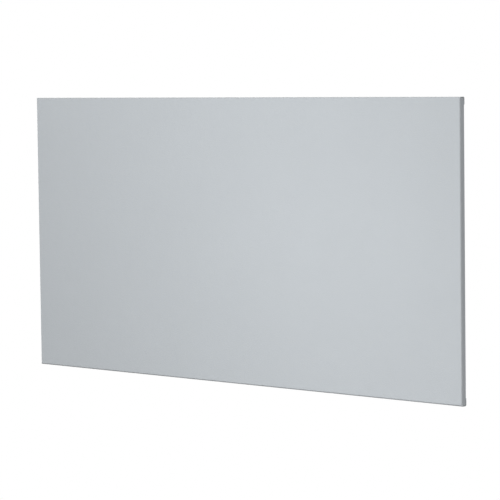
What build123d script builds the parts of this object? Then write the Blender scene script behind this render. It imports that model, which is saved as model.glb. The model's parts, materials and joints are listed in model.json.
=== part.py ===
from build123d import *

import os
from math import cos, radians

# Infrared panel heater, hung on two wall brackets.
# Millimetres. X runs along the width, +Z is up and the warm front faces -Y.
# The origin lies on the wall, in the middle of the four wall-screw holes.
# Depths are counted from the panel's front face towards the wall.

# ---------------------------------------------------------------- front panel
PANEL_WIDTH = 1200.0
PANEL_HEIGHT = 600.0
PANEL_DEPTH = 14.5  # front face to the outer face of the folded lips
PANEL_SHEET = 1.0
FOLD_RADIUS = 3.0  # outside of the folds round the front, and of the lips
RETURN_RADIUS = 1.6  # outside of the tighter folds behind the sides
LIP_HEIGHT = 15.0  # lips turned back along the top and bottom edges
LIP_INSET = 1.0  # panel's side to the end of each lip
SIDE_RETURN = 14.0  # inward fold of each side, under the rear cover
RETURN_END_GAP = 3.0  # side return to the top and bottom folds
CORNER_SEAM = 0.4  # open seam between the folded sides and the top

# ------------------------------------------------------------- heating layers
FILM_SHEET = 0.5
FILM_MARGIN = 5.0  # panel's inner wall to the edge of films and reflector
STRIP_SHEET = 0.5
STRIP_GAP = 8.0
STRIP_ROWS = 14  # even, so that both ends of the meander lie at the bottom
ELEMENT_MARGIN = 40.0  # panel's side to the outermost turn
ELEMENT_END_MARGIN = 38.0  # panel's top and bottom edges to the nearest strip
REFLECTOR_SHEET = 0.5
BOARD_GAP = 1.0  # insulation board to the side returns
BOARD_END_GAP = 4.0  # insulation board to the top and bottom folds

# ------------------------------------------------------- wiring pocket, inside
POCKET_WIDTH = 64.0
POCKET_LOW = 38.0  # its lower end above the panel's bottom edge
POCKET_HIGH = 106.0
TAB_SPACING = 36.0
TAB_WIDTH = 12.0
TAB_HEIGHT = 10.0
TAB_SHEET = 1.1
TAB_CORNER = 1.5
TAB_WINDOW_GAP = 1.0
BARREL_RADIUS = 2.2
BARREL_SINK = 0.3  # how deep a crimp barrel is rolled into its plate
BARREL_LENGTH = 8.0
BARREL_INSET = 1.0  # tab's end to the barrel's mouth
CUTOUT_WIDTH = 8.0
CUTOUT_THICKNESS = 5.0
CUTOUT_LENGTH = 20.0
CUTOUT_CORNER = 1.2
CUTOUT_WIRE_RADIUS = 0.6
CUTOUT_WIRE_LENGTH = 5.0
LEAD_RADIUS = 1.3
LEAD_BEND = 3.6
LEAD_RISE = 7.0  # terminal block to the first lead that crosses above it
LEAD_STEP = 6.0  # from each crossing lead to the next

# ----------------------------------------------------------------- rear cover
COVER_SHEET = 0.6
COVER_EDGE_GAP = 3.2  # panel's outer faces to the cover, past the folds' round
COVER_SCREW_ROWS = 5
COVER_SCREW_END = 50.0  # panel's top and bottom edges to the end screws
BEAD_DEPTH = 2.0
BEAD_WIDTH = 18.0
BEAD_ROWS = 3
BEAD_LOW_GAP = 96.0  # connection box to the lowest row of beads
BEAD_HIGH_GAP = 140.0  # highest row of beads to the panel's top edge
BEAD_END_GAP = 32.0  # bead to rail, and bead to the side screws
BEAD_SLOPE = 40.0  # degrees from the direction of pressing

# --------------------------------------------------------------- hanger rails
RAIL_SPACING = 700.0
RAIL_END_GAP = 35.0  # rail to the panel's top and bottom edges
RAIL_SHEET = 1.5
RAIL_DEPTH = 13.0
RAIL_CROWN = 52.0
RAIL_FOOT = 14.0
RAIL_FOLD = 2.5  # outside radius
RAIL_RIVETS = 4
RAIL_RIVET_END = 25.0  # rail's end to its last rivet

# -------------------------------------------------------------- wall brackets
WALL_GAP = 30.0  # wall to the panel's folded lips
BRACKET_SHEET = 2.0
BRACKET_WIDTH = 36.0
BRACKET_FOLD = 3.0  # outside radius
BRACKET_PLAY = 0.3  # bracket to the rail's crown
BRACKET_END_CHAMFER = 8.0
WALL_HOLE_END = 20.0  # bracket's end to the middle of its wall-screw slot
WALL_HOLE_WIDTH = 6.5
WALL_HOLE_LENGTH = 12.0
HOOK_END = 70.0  # bracket's end to the neck of its hook
HOOK_ROOT = 8.0  # height of the neck that carries the rail
HOOK_TOOTH = 10.0  # height of the tooth above the neck
HOOK_THICKNESS = 4.0
HOOK_THROAT_PLAY = 0.5
HOOK_ROUND = 2.5
LIFT_PLAY = 4.0  # tooth to the slot's edge when the panel is lifted free
SLOT_SIDE_PLAY = 1.0
SLOT_END_PLAY = 3.0

# -------------------------------------------------------------- wall buffers
BUFFER_RADIUS = 9.0
BUFFER_END = 18.0  # rail's end to the buffer's middle
BUFFER_ROUND = 1.5
BUFFER_TAPER = 1.0  # how much slimmer the buffer is at the rail
BUFFER_STEM_RADIUS = 3.5
BUFFER_STEM_GAP = 0.05
BUFFER_TIP_RADIUS = 2.5
BUFFER_TIP_LENGTH = 4.0  # stem behind the rail's sheet
BUFFER_BARB_RADIUS = 4.6
BUFFER_BARB_EDGE = 0.2
BUFFER_BARB_LENGTH = 1.0
BUFFER_CLEARANCE = 4.0  # buffer to bracket when the panel is lifted free

# ------------------------------------------------------------ connection box
BOX_WIDTH = 130.0
BOX_HEIGHT = 84.0
BOX_DEPTH = 26.0
BOX_RISE = 60.0  # its underside above the panel's bottom edge
BOX_WALL = 2.5
BOX_CORNER = 6.0
LID_SHEET = 2.5
LID_EDGE = 1.2
LID_RIM_HEIGHT = 2.0
LID_RIM_SHEET = 1.5
LID_RIM_PLAY = 0.4
GASKET_SHEET = 1.0
GASKET_INSET = 0.4
BOSS_RADIUS = 4.5
BOSS_INSET = 6.5
BOX_RIVET_INSET = 17.0  # box's sides to the rivets
BOX_RIVET_END = 9.0  # box's top and underside to the rivets
PILOT_GAP = 0.05  # screw to the hole that it cuts in the box

# -------------------------------------------------------------- small fixings
SCREW_HOLE_GAP = 0.1
HEAD_ROUND = 0.55  # rounding of a pan head, as a share of its height
RECESS_LENGTH = 1.0  # cross recess across the head, as a share of its radius
RECESS_WIDTH = 0.25
RECESS_DEPTH = 0.6  # share of the head's height
COVER_SCREW_RADIUS = 1.75
COVER_SCREW_LENGTH = 6.5
COVER_SCREW_HOLE_REACH = 4.0  # length of the cutter, past both sheets
COVER_SCREW_INSET = 8.0
COVER_HEAD_RADIUS = 3.5
COVER_HEAD_HEIGHT = 2.4
LID_SCREW_RADIUS = 1.5
LID_SCREW_LENGTH = 12.0
LID_HEAD_RADIUS = 2.9
LID_HEAD_HEIGHT = 2.0
LID_COUNTERBORE = 1.2
RIVET_RADIUS = 1.6
RIVET_HEAD_RADIUS = 3.2
RIVET_HEAD_HEIGHT = 1.1
RIVET_BULB_RADIUS = 2.3
RIVET_BULB_LENGTH = 1.4
RIVET_GAP = 0.05
MANDREL_RADIUS = 0.9
MANDREL_DEPTH = 0.7  # head's crown to the broken end of the mandrel

# -------------------------------------------------------------- cable grommet
GROMMET_RISE = 35.0  # its centre above the box's underside
GROMMET_HOLE_RADIUS = 6.5
GROMMET_BORE_RADIUS = 4.5
GROMMET_FLANGE_RADIUS = 8.5
GROMMET_FLANGE_SHEET = 1.5
GROMMET_FLANGE_TAPER = 0.8
GROMMET_GAP = 0.05
GROMMET_LEAD_SPACING = 5.0

# ------------------------------------------------------------- terminal block
POLE_COUNT = 3
POLE_PITCH = 10.0
BLOCK_OFFSET = -30.0
BLOCK_DROP = 27.0  # box's top to the block's upper end
BLOCK_LENGTH = 17.0
BLOCK_TOP_LENGTH = 12.0
BLOCK_HEIGHT = 13.0
BLOCK_EAR_WIDTH = 8.0
BLOCK_EAR_HEIGHT = 3.0
BLOCK_EAR_CORNER = 3.0
BLOCK_GROOVE = 1.2
BLOCK_GROOVE_DEPTH = 7.0
ENTRY_RISE = 5.5
ENTRY_RADIUS = 1.8
ENTRY_DEPTH = 7.0
CLAMP_SCREW_RADIUS = 2.0
CLAMP_SCREW_LENGTH = 5.0
CLAMP_SCREW_SPACING = 7.5
CLAMP_SCREW_SLOT = 0.8
BLOCK_SCREW_RADIUS = 1.4
BLOCK_SCREW_BITE = 2.0
BLOCK_HEAD_RADIUS = 2.6
BLOCK_HEAD_HEIGHT = 1.8

# ---------------------------------------------------------------- earth point
EARTH_INSET = 15.0  # box's side to the stud
EARTH_DROP = 22.0  # box's top to the stud
EARTH_STUD_RADIUS = 2.0
EARTH_STUD_LENGTH = 13.0
EARTH_STUD_TIP = 0.5
EARTH_FLANGE_RADIUS = 3.0
EARTH_FLANGE_SHEET = 0.8
EARTH_NUT_FLATS = 7.0
EARTH_NUT_HEIGHT = 3.2
EARTH_RING_RADIUS = 4.2
EARTH_RING_SHEET = 0.8
EARTH_BARREL_GAP = 1.0  # ring to the start of its barrel
EARTH_BARREL_LENGTH = 5.0
NUT_GAP = 0.05
NUT_CHAMFER = 0.6  # slope of a nut's turned-off corners, rise over run

# ---------------------------------------------------------------- cable gland
GLAND_OFFSET = -30.0
GLAND_THREAD_RADIUS = 6.0
GLAND_FLATS = 16.0
GLAND_BORE_RADIUS = 4.0
GLAND_SEAT_RADIUS = 5.0
GLAND_SEAT_DEPTH = 4.0
GLAND_COLLAR = 5.0
GLAND_NECK = 7.0
GLAND_SPIGOT = 8.5
GLAND_WASHER = 1.0
GLAND_LOCKNUT = 4.0
GLAND_NUT_LENGTH = 15.7
GLAND_NUT_START = 0.1  # collar to the cap nut
GLAND_NUT_EDGE = 1.0
GLAND_NUT_FLANK = 7.85  # height at which the dome starts
GLAND_NUT_LIP = 1.2  # flat ring round the cable's exit
GLAND_DOME_SHARE = 0.88  # of the corner radius, at the dome's shoulder
GLAND_DOME_RISE = 1.5
GLAND_EXIT_RADIUS = 3.7
GLAND_EXIT_LENGTH = 4.0
GLAND_THREAD_RUNOUT = 1.0
GLAND_GAP = 0.05
CABLE_BORE_RADIUS = 3.15
SEAL_LENGTH = 8.8

# -------------------------------------------------------------- rocker switch
SWITCH_OFFSET = 30.0
BEZEL_LENGTH = 21.0
BEZEL_WIDTH = 15.0
BEZEL_SHEET = 2.0
BEZEL_ROUND = 0.8
BEZEL_EDGE = 0.56
HOUSING_LENGTH = 19.0
HOUSING_WIDTH = 13.0
HOUSING_DEPTH = 17.0
HOUSING_GAP = 0.1
LATCH_DEPTH = 0.7
LATCH_LENGTH = 5.0
LATCH_WIDTH = 6.0
WELL_LENGTH = 17.8
WELL_WIDTH = 11.4
WELL_DEPTH = 8.5
ROCKER_RADIUS = 8.7  # from the pivot to the rocker's rounded ends
ROCKER_WIDTH = 11.0
ROCKER_HEIGHT = 3.2  # above the pivot, in the middle
ROCKER_DISH = 16.0  # radius of the hollow top
ROCKER_BELOW = 3.5
ROCKER_TILT = 11.0  # degrees each way
PIVOT_DEPTH = 3.0  # behind the bezel's face
PIVOT_RADIUS = 1.5
PIVOT_GAP = 0.05
PIVOT_END = 6.3
SPADE_WIDTH = 6.3
SPADE_SHEET = 0.8
SPADE_LENGTH = 8.0
SPADE_SPACING = 10.0
RECEPTACLE_WALL = 0.5
RECEPTACLE_PLAY = 0.1

# ------------------------------------------------------------- derived places
half_width = PANEL_WIDTH / 2
half_height = PANEL_HEIGHT / 2
front_y = -(WALL_GAP + PANEL_DEPTH)
side_depth = PANEL_DEPTH - PANEL_SHEET - COVER_SHEET
cover_inner_y = front_y + side_depth
cover_outer_y = cover_inner_y + COVER_SHEET
element_front_y = front_y + PANEL_SHEET + FILM_SHEET
element_rear_y = element_front_y + STRIP_SHEET
reflector_front_y = element_rear_y + FILM_SHEET
board_front_y = reflector_front_y + REFLECTOR_SHEET
board_rear_y = cover_inner_y - BEAD_DEPTH
rail_face_y = cover_outer_y + RAIL_DEPTH
bracket_front_y = rail_face_y + BRACKET_PLAY
throat_y = rail_face_y - RAIL_SHEET - HOOK_THROAT_PLAY
hook_front_y = throat_y - HOOK_THICKNESS
lift = HOOK_TOOTH + LIFT_PLAY
slot_height = HOOK_ROOT + lift + SLOT_END_PLAY

rail_length = PANEL_HEIGHT - 2 * RAIL_END_GAP
rail_rivet_pitch = (rail_length - 2 * RAIL_RIVET_END) / (RAIL_RIVETS - 1)
buffer_z = BUFFER_END - rail_length / 2
bracket_length = 2 * (-buffer_z - BUFFER_RADIUS - BUFFER_CLEARANCE - lift)
wall_hole_pitch = bracket_length - 2 * WALL_HOLE_END
hook_pitch = bracket_length - 2 * HOOK_END
cover_screw_pitch = (PANEL_HEIGHT - 2 * COVER_SCREW_END) / (COVER_SCREW_ROWS - 1)

strip_pitch = (PANEL_HEIGHT - 2 * ELEMENT_END_MARGIN + STRIP_GAP) / STRIP_ROWS
strip_width = strip_pitch - STRIP_GAP
lowest_row_z = -half_height + ELEMENT_END_MARGIN + strip_width / 2
cutout_y = reflector_front_y + CUTOUT_THICKNESS / 2
tab_x = TAB_SPACING / 2
barrel_end_z = lowest_row_z + TAB_HEIGHT / 2 - BARREL_INSET
cutout_low_z = barrel_end_z + CUTOUT_WIRE_LENGTH
cutout_high_z = cutout_low_z + CUTOUT_LENGTH

box_low_z = -half_height + BOX_RISE
box_mid_z = box_low_z + BOX_HEIGHT / 2
box_high_z = box_low_z + BOX_HEIGHT
bead_lowest_z = box_high_z + BEAD_LOW_GAP
bead_pitch = (half_height - BEAD_HIGH_GAP - bead_lowest_z) / (BEAD_ROWS - 1)
floor_y = cover_outer_y + BOX_WALL
lid_outer_y = cover_outer_y + BOX_DEPTH
lid_inner_y = lid_outer_y - LID_SHEET
rim_y = lid_inner_y - GASKET_SHEET
port_y = (floor_y + rim_y) / 2
grommet_z = box_low_z + GROMMET_RISE
block_top_z = box_high_z - BLOCK_DROP
block_z = block_top_z - BLOCK_LENGTH / 2
entry_y = floor_y + ENTRY_RISE
earth_x = BOX_WIDTH / 2 - EARTH_INSET
earth_z = box_high_z - EARTH_DROP
earth_barrel_z = earth_z + EARTH_RING_RADIUS + EARTH_BARREL_GAP
earth_barrel_y = floor_y + EARTH_RING_SHEET + BARREL_RADIUS - BARREL_SINK
pivot_z = box_low_z - BEZEL_SHEET + PIVOT_DEPTH
housing_end_z = box_low_z + HOUSING_DEPTH
spade_end_z = housing_end_z + SPADE_LENGTH


# ------------------------------------------------------------------- helpers
def upright(y):
    """Plane across the depth: its x is X, its y is Z, and it faces the front."""
    return Plane(origin=(0, y, 0), x_dir=(1, 0, 0), z_dir=(0, -1, 0))


def layer(outline, near_y, far_y):
    """Extrudes an outline drawn in X and Z from one depth to another."""
    return extrude(upright(far_y) * outline, amount=far_y - near_y)


def towards_wall(x, y, z):
    """Place whose own +Z points at the wall, for rivets, screws and studs."""
    return Plane(origin=(x, y, z), x_dir=(1, 0, 0), z_dir=(0, 1, 0))


def downwards(x, y, z):
    """Place whose own +Z points down, for what leaves the box's underside."""
    return Plane(origin=(x, y, z), x_dir=(1, 0, 0), z_dir=(0, 0, -1))


def folded(points, sheet, outer_radius):
    """Section of a folded sheet: its middle line, rounded at every corner."""
    middle_line = FilletPolyline(*points, radius=outer_radius - sheet / 2)
    return trace(middle_line, line_width=sheet)


def turned(points):
    """Solid of revolution about Z from a closed (radius, height) outline."""
    return revolve(Plane.XZ * make_face(Polyline(*points, close=True)), Axis.Z)


def centred(count, pitch):
    """Positions of a row that is centred on zero."""
    return [(index - (count - 1) / 2) * pitch for index in range(count)]


def blind_rivet(grip):
    """Domed blind rivet, head above zero, set in a stack as thick as its grip."""
    dome = TangentArc((0, RIVET_HEAD_HEIGHT), (RIVET_HEAD_RADIUS, 0), tangent=(1, 0))
    outline = Polyline(
        (0, RIVET_HEAD_HEIGHT),
        (0, -grip - RIVET_BULB_LENGTH),
        (RIVET_RADIUS, -grip - RIVET_BULB_LENGTH),
        (RIVET_BULB_RADIUS, -grip - RIVET_BULB_LENGTH / 2),
        (RIVET_BULB_RADIUS, -grip),
        (RIVET_RADIUS, -grip),
        (RIVET_RADIUS, 0),
        (RIVET_HEAD_RADIUS, 0),
    )
    mandrel_hole = Pos(0, 0, RIVET_HEAD_HEIGHT) * Cylinder(MANDREL_RADIUS, 2 * MANDREL_DEPTH)
    return revolve(Plane.XZ * make_face([outline, dome]), Axis.Z) - mandrel_hole


def pan_screw(shank_radius, length, head_radius, head_height):
    """Pan-head screw with a cross recess, head above zero and tip below."""
    head = Cylinder(head_radius, head_height, align=(Align.CENTER, Align.CENTER, Align.MIN))
    head = fillet(head.edges().sort_by(Axis.Z)[-1], head_height * HEAD_ROUND)
    shank = turned([(0, 0), (shank_radius, 0), (shank_radius, shank_radius - length), (0, -length)])
    arm = Rectangle(head_radius * RECESS_LENGTH, head_radius * RECESS_WIDTH)
    recess = Sketch() + [arm, Rot(0, 0, 90) * arm]
    cross = extrude(Plane.XY.offset(head_height) * recess, amount=-head_height * RECESS_DEPTH)
    return head + shank - cross


def tube_route(points, bend):
    """Solid round wire of the lead's radius along straight runs and bends."""
    route = FilletPolyline(*points, radius=bend)
    start = Plane(origin=route @ 0, z_dir=route % 0)
    return sweep(start * Circle(LEAD_RADIUS), path=route)


# -------------------------------------------------------------------- sheet metal
def front_panel():
    """Folded tray: dished front, C-folded top and bottom, returned sides."""
    fold_depth = side_depth / 2
    middle = PANEL_SHEET / 2
    shell = layer(Rectangle(PANEL_WIDTH, PANEL_HEIGHT), front_y, front_y + fold_depth)
    shell = fillet(shell.faces().sort_by(Axis.Y)[0].edges(), FOLD_RADIUS)
    hollow = layer(
        Rectangle(PANEL_WIDTH - 2 * PANEL_SHEET, PANEL_HEIGHT - 2 * PANEL_SHEET),
        front_y + PANEL_SHEET,
        front_y + fold_depth,
    )
    hollow = fillet(hollow.faces().sort_by(Axis.Y)[0].edges(), FOLD_RADIUS - PANEL_SHEET)
    tray = shell - hollow

    for up in (-1, 1):
        lip_line = [
            (front_y + fold_depth, up * (half_height - middle)),
            (front_y + PANEL_DEPTH - middle, up * (half_height - middle)),
            (front_y + PANEL_DEPTH - middle, up * (half_height - LIP_HEIGHT)),
        ]
        section = folded(lip_line, PANEL_SHEET, FOLD_RADIUS)
        lip_start = Plane.YZ.offset(LIP_INSET - half_width)
        tray += extrude(lip_start * section, amount=PANEL_WIDTH - 2 * LIP_INSET)
        flat_depth = PANEL_DEPTH - FOLD_RADIUS - fold_depth
        tray += Pos(0, front_y + fold_depth + flat_depth / 2, up * (half_height - middle)) * Box(
            PANEL_WIDTH, flat_depth, PANEL_SHEET
        )

    return_height = PANEL_HEIGHT - 2 * (PANEL_SHEET + FOLD_RADIUS + RETURN_END_GAP)
    for side in (-1, 1):
        side_line = [
            (side * (half_width - middle), front_y + fold_depth),
            (side * (half_width - middle), cover_inner_y - middle),
            (side * (half_width - SIDE_RETURN - PANEL_SHEET), cover_inner_y - middle),
        ]
        section = folded(side_line, PANEL_SHEET, RETURN_RADIUS)
        tray += extrude(Plane.XY.offset(-return_height / 2) * section, amount=return_height)
        for up in (-1, 1):
            plain_end = half_height - PANEL_SHEET - CORNER_SEAM - return_height / 2
            tray += Pos(
                side * (half_width - middle),
                front_y + (fold_depth + side_depth - RETURN_RADIUS) / 2,
                up * (return_height + plain_end) / 2,
            ) * Box(PANEL_SHEET, side_depth - RETURN_RADIUS - fold_depth, plain_end)

    hole_radius = COVER_SCREW_RADIUS + SCREW_HOLE_GAP
    for x, z in cover_screw_places():
        tray -= towards_wall(x, cover_inner_y, z) * Cylinder(hole_radius, COVER_SCREW_HOLE_REACH)
    return tray


def cover_screw_places():
    """Screws up both sides, through the cover and into the side returns."""
    rows = centred(COVER_SCREW_ROWS, cover_screw_pitch)
    x = half_width - COVER_SCREW_INSET
    return [(side * x, z) for side in (-1, 1) for z in rows]


def rail_rivet_places():
    """Rivets through both feet of both rails."""
    foot_x = (RAIL_CROWN + RAIL_FOOT) / 2
    rows = centred(RAIL_RIVETS, rail_rivet_pitch)
    rails = (-RAIL_SPACING / 2, RAIL_SPACING / 2)
    return [(rail + foot, z) for rail in rails for foot in (-foot_x, foot_x) for z in rows]


def box_rivet_places():
    """Four rivets through the floor of the connection box."""
    x = BOX_WIDTH / 2 - BOX_RIVET_INSET
    rise = BOX_HEIGHT / 2 - BOX_RIVET_END
    return [(side * x, box_mid_z + up * rise) for side in (-1, 1) for up in (-1, 1)]


def bead_places():
    """Middle and length of each pressed bead: between and outside the rails."""
    rail_reach = RAIL_CROWN / 2 + RAIL_FOOT
    inner_length = RAIL_SPACING - 2 * (rail_reach + BEAD_END_GAP)
    outer_start = RAIL_SPACING / 2 + rail_reach + BEAD_END_GAP
    outer_end = half_width - COVER_SCREW_INSET - BEAD_END_GAP
    outer_x = (outer_start + outer_end) / 2
    places = []
    for row in range(BEAD_ROWS):
        z = bead_lowest_z + row * bead_pitch
        places.append((0, z, inner_length))
        places.append((-outer_x, z, outer_end - outer_start))
        places.append((outer_x, z, outer_end - outer_start))
    return places


def rear_cover():
    """Flat steel sheet stiffened by beads pressed in against the board."""
    width = PANEL_WIDTH - 2 * COVER_EDGE_GAP
    height = PANEL_HEIGHT - 2 * COVER_EDGE_GAP
    cover = layer(Rectangle(width, height), cover_inner_y, cover_outer_y)
    for x, z, length in bead_places():
        capsule = Pos(x, z) * SlotOverall(length, BEAD_WIDTH)
        cover += extrude(upright(cover_inner_y) * capsule, amount=BEAD_DEPTH, taper=BEAD_SLOPE)
        cover -= extrude(upright(cover_outer_y) * capsule, amount=BEAD_DEPTH, taper=BEAD_SLOPE)
    holes = [(x, z, COVER_SCREW_RADIUS + SCREW_HOLE_GAP) for x, z in cover_screw_places()]
    holes += [(x, z, RIVET_RADIUS + RIVET_GAP) for x, z in rail_rivet_places()]
    holes += [(x, z, RIVET_RADIUS + RIVET_GAP) for x, z in box_rivet_places()]
    holes.append((0, grommet_z, GROMMET_HOLE_RADIUS))
    holes.append((earth_x, earth_z, EARTH_STUD_RADIUS + SCREW_HOLE_GAP))
    for x, z, radius in holes:
        cover -= layer(Pos(x, z) * Circle(radius), cover_inner_y, cover_outer_y)
    return cover


def hanger_rail(rail_x):
    """Hat-section rail with two slots in its crown for each pair of hooks."""
    middle = RAIL_SHEET / 2
    crown_y = rail_face_y - middle
    foot_y = cover_outer_y + middle
    edge = RAIL_CROWN / 2 - middle
    hat = [
        (rail_x - RAIL_CROWN / 2 - RAIL_FOOT, foot_y),
        (rail_x - edge, foot_y),
        (rail_x - edge, crown_y),
        (rail_x + edge, crown_y),
        (rail_x + edge, foot_y),
        (rail_x + RAIL_CROWN / 2 + RAIL_FOOT, foot_y),
    ]
    section = folded(hat, RAIL_SHEET, RAIL_FOLD)
    rail = extrude(Plane.XY.offset(-rail_length / 2) * section, amount=rail_length)

    slot_width = BRACKET_SHEET + 2 * SLOT_SIDE_PLAY
    hook_x = (BRACKET_WIDTH - BRACKET_SHEET) / 2
    for z in centred(2, hook_pitch):
        for side in (-1, 1):
            slot = Pos(rail_x + side * hook_x, z - slot_height / 2) * Rectangle(slot_width, slot_height)
            rail -= layer(slot, rail_face_y - RAIL_SHEET, rail_face_y)
    for x, z in rail_rivet_places():
        if abs(x - rail_x) < RAIL_CROWN:
            rivet_hole = Pos(x, z) * Circle(RIVET_RADIUS + RIVET_GAP)
            rail -= layer(rivet_hole, cover_outer_y, cover_outer_y + RAIL_SHEET)
    stem_hole = Pos(rail_x, buffer_z) * Circle(BUFFER_STEM_RADIUS + BUFFER_STEM_GAP)
    return rail - layer(stem_hole, rail_face_y - RAIL_SHEET, rail_face_y)


def wall_bracket(bracket_x):
    """Channel on the wall whose sides carry upward hooks for the rail."""
    half = BRACKET_WIDTH / 2
    middle = BRACKET_SHEET / 2
    half_length = bracket_length / 2
    channel = [
        (bracket_x - half + middle, bracket_front_y),
        (bracket_x - half + middle, -middle),
        (bracket_x + half - middle, -middle),
        (bracket_x + half - middle, bracket_front_y),
    ]
    section = folded(channel, BRACKET_SHEET, BRACKET_FOLD)
    bracket = extrude(Plane.XY.offset(-half_length) * section, amount=bracket_length)

    # The corners of both sides slope back to the wall at the channel's ends.
    for up in (-1, 1):
        corner = [
            (bracket_front_y, up * half_length),
            (bracket_front_y, up * (half_length - BRACKET_END_CHAMFER)),
            (bracket_front_y + BRACKET_END_CHAMFER, up * half_length),
        ]
        wedge = make_face(Polyline(*corner, close=True))
        bracket -= extrude(Plane.YZ.offset(bracket_x - half) * wedge, amount=BRACKET_WIDTH)

    for neck_z in centred(2, hook_pitch):
        outline = Polyline(
            (bracket_front_y, neck_z),
            (throat_y, neck_z),
            (throat_y, neck_z + HOOK_TOOTH),
            (hook_front_y, neck_z + HOOK_TOOTH),
            (hook_front_y, neck_z - HOOK_ROOT),
            (bracket_front_y, neck_z - HOOK_ROOT),
            close=True,
        )
        hook = make_face(outline)
        rounded = hook.vertices().group_by(Axis.X)[0]
        hook = fillet(rounded, HOOK_ROUND)
        for side in (-1, 1):
            inner_x = bracket_x + side * (half - middle) - middle
            bracket += extrude(Plane.YZ.offset(inner_x) * hook, amount=BRACKET_SHEET)

    for z in centred(2, wall_hole_pitch):
        slot = Pos(bracket_x, z) * SlotOverall(WALL_HOLE_LENGTH, WALL_HOLE_WIDTH)
        bracket -= layer(slot, -BRACKET_SHEET, 0)
    return bracket


def wall_buffers():
    """Rubber buffers pressed into the crown holes, resting against the wall."""
    length = -rail_face_y
    stem_end = -RAIL_SHEET
    outline = [
        (0, length),
        (BUFFER_RADIUS - BUFFER_ROUND, length),
        (BUFFER_RADIUS, length - BUFFER_ROUND),
        (BUFFER_RADIUS - BUFFER_TAPER, 0),
        (BUFFER_STEM_RADIUS, 0),
        (BUFFER_STEM_RADIUS, stem_end),
        (BUFFER_BARB_RADIUS, stem_end - BUFFER_BARB_EDGE),
        (BUFFER_BARB_RADIUS, stem_end - BUFFER_BARB_LENGTH),
        (BUFFER_TIP_RADIUS, stem_end - BUFFER_TIP_LENGTH),
        (0, stem_end - BUFFER_TIP_LENGTH),
    ]
    buffer = turned(outline)
    rails = (-RAIL_SPACING / 2, RAIL_SPACING / 2)
    return [towards_wall(x, rail_face_y, buffer_z) * buffer for x in rails]


# ----------------------------------------------------------- heating layers
def film(near_y, thickness, openings=()):
    """Thin sheet over the whole front, less any openings."""
    margin = PANEL_SHEET + FILM_MARGIN
    outline = Rectangle(PANEL_WIDTH - 2 * margin, PANEL_HEIGHT - 2 * margin)
    for opening in openings:
        outline -= opening
    return layer(outline, near_y, near_y + thickness)


def pocket():
    """Outline of the wiring pocket behind the ends of the meander."""
    height = POCKET_HIGH - POCKET_LOW
    middle_z = -half_height + (POCKET_LOW + POCKET_HIGH) / 2
    return Pos(0, middle_z) * RectangleRounded(POCKET_WIDTH, height, BOX_CORNER)


def tab_windows():
    """Openings of the rear film over the two terminal tabs."""
    width = TAB_WIDTH + 2 * TAB_WINDOW_GAP
    height = TAB_HEIGHT + 2 * TAB_WINDOW_GAP
    return [Pos(side * tab_x, lowest_row_z) * Rectangle(width, height) for side in (-1, 1)]


def heating_element():
    """One foil meander: up the right half, across the top, down the left."""
    turn = strip_pitch / 2
    inner_x = turn + strip_width / 2 + STRIP_GAP / 2
    outer_x = half_width - ELEMENT_MARGIN - turn - strip_width / 2
    first_x = tab_x - TAB_WIDTH
    line = []
    for side in (-1, 1):
        for row in range(STRIP_ROWS):
            z = lowest_row_z + row * strip_pitch
            near_x = first_x if row == 0 else inner_x
            if row == STRIP_ROWS - 1:
                near_x = 0
            line.append(Line((side * near_x, z), (side * outer_x, z)))
            if row < STRIP_ROWS - 1:
                outward = row % 2 == 0
                end_x = side * (outer_x if outward else inner_x)
                bulge_x = end_x + side * (turn if outward else -turn)
                line.append(ThreePointArc((end_x, z), (bulge_x, z + turn), (end_x, z + strip_pitch)))
    return layer(trace(line, line_width=strip_width), element_front_y, element_rear_y)


def element_terminals():
    """Two crimp tabs on the foil's ends, each with a barrel for its wire."""
    tabs = []
    for side in (-1, 1):
        x = side * tab_x
        foot = layer(
            Pos(x, lowest_row_z) * RectangleRounded(TAB_WIDTH, TAB_HEIGHT, TAB_CORNER),
            element_rear_y,
            element_rear_y + TAB_SHEET,
        )
        barrel_y = element_rear_y + TAB_SHEET + BARREL_RADIUS - BARREL_SINK
        barrel = Pos(x, barrel_y, barrel_end_z) * Cylinder(
            BARREL_RADIUS, BARREL_LENGTH, align=(Align.CENTER, Align.CENTER, Align.MAX)
        )
        tabs.append(foot + barrel)
    return tabs


def insulation_board():
    """Mineral board behind the reflector, open at the wiring pocket."""
    width = PANEL_WIDTH - 2 * (PANEL_SHEET + SIDE_RETURN + BOARD_GAP)
    height = PANEL_HEIGHT - 2 * (PANEL_SHEET + BOARD_END_GAP)
    return layer(Rectangle(width, height) - pocket(), board_front_y, board_rear_y)


def thermal_cutout():
    """Flat limiter can with a wire at each end, lying on the rear film."""
    can = Box(CUTOUT_WIDTH, CUTOUT_THICKNESS, CUTOUT_LENGTH)
    can = fillet(can.edges().filter_by(Axis.Z), CUTOUT_CORNER)
    wire = Cylinder(CUTOUT_WIRE_RADIUS, CUTOUT_LENGTH + 2 * CUTOUT_WIRE_LENGTH)
    middle_z = (cutout_low_z + cutout_high_z) / 2
    return Pos(tab_x, cutout_y, middle_z) * (can + wire)


# ------------------------------------------------------------ connection box
def box_outline(inset=0.0):
    """Rounded outline of the box in X and Z, drawn in by an inset."""
    outline = RectangleRounded(BOX_WIDTH - 2 * inset, BOX_HEIGHT - 2 * inset, BOX_CORNER - inset)
    return Pos(0, box_mid_z) * outline


def boss_places():
    """Middles of the four corner bosses that take the lid screws."""
    x = BOX_WIDTH / 2 - BOSS_INSET
    rise = BOX_HEIGHT / 2 - BOSS_INSET
    return [(side * x, box_mid_z + up * rise) for side in (-1, 1) for up in (-1, 1)]


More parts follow.
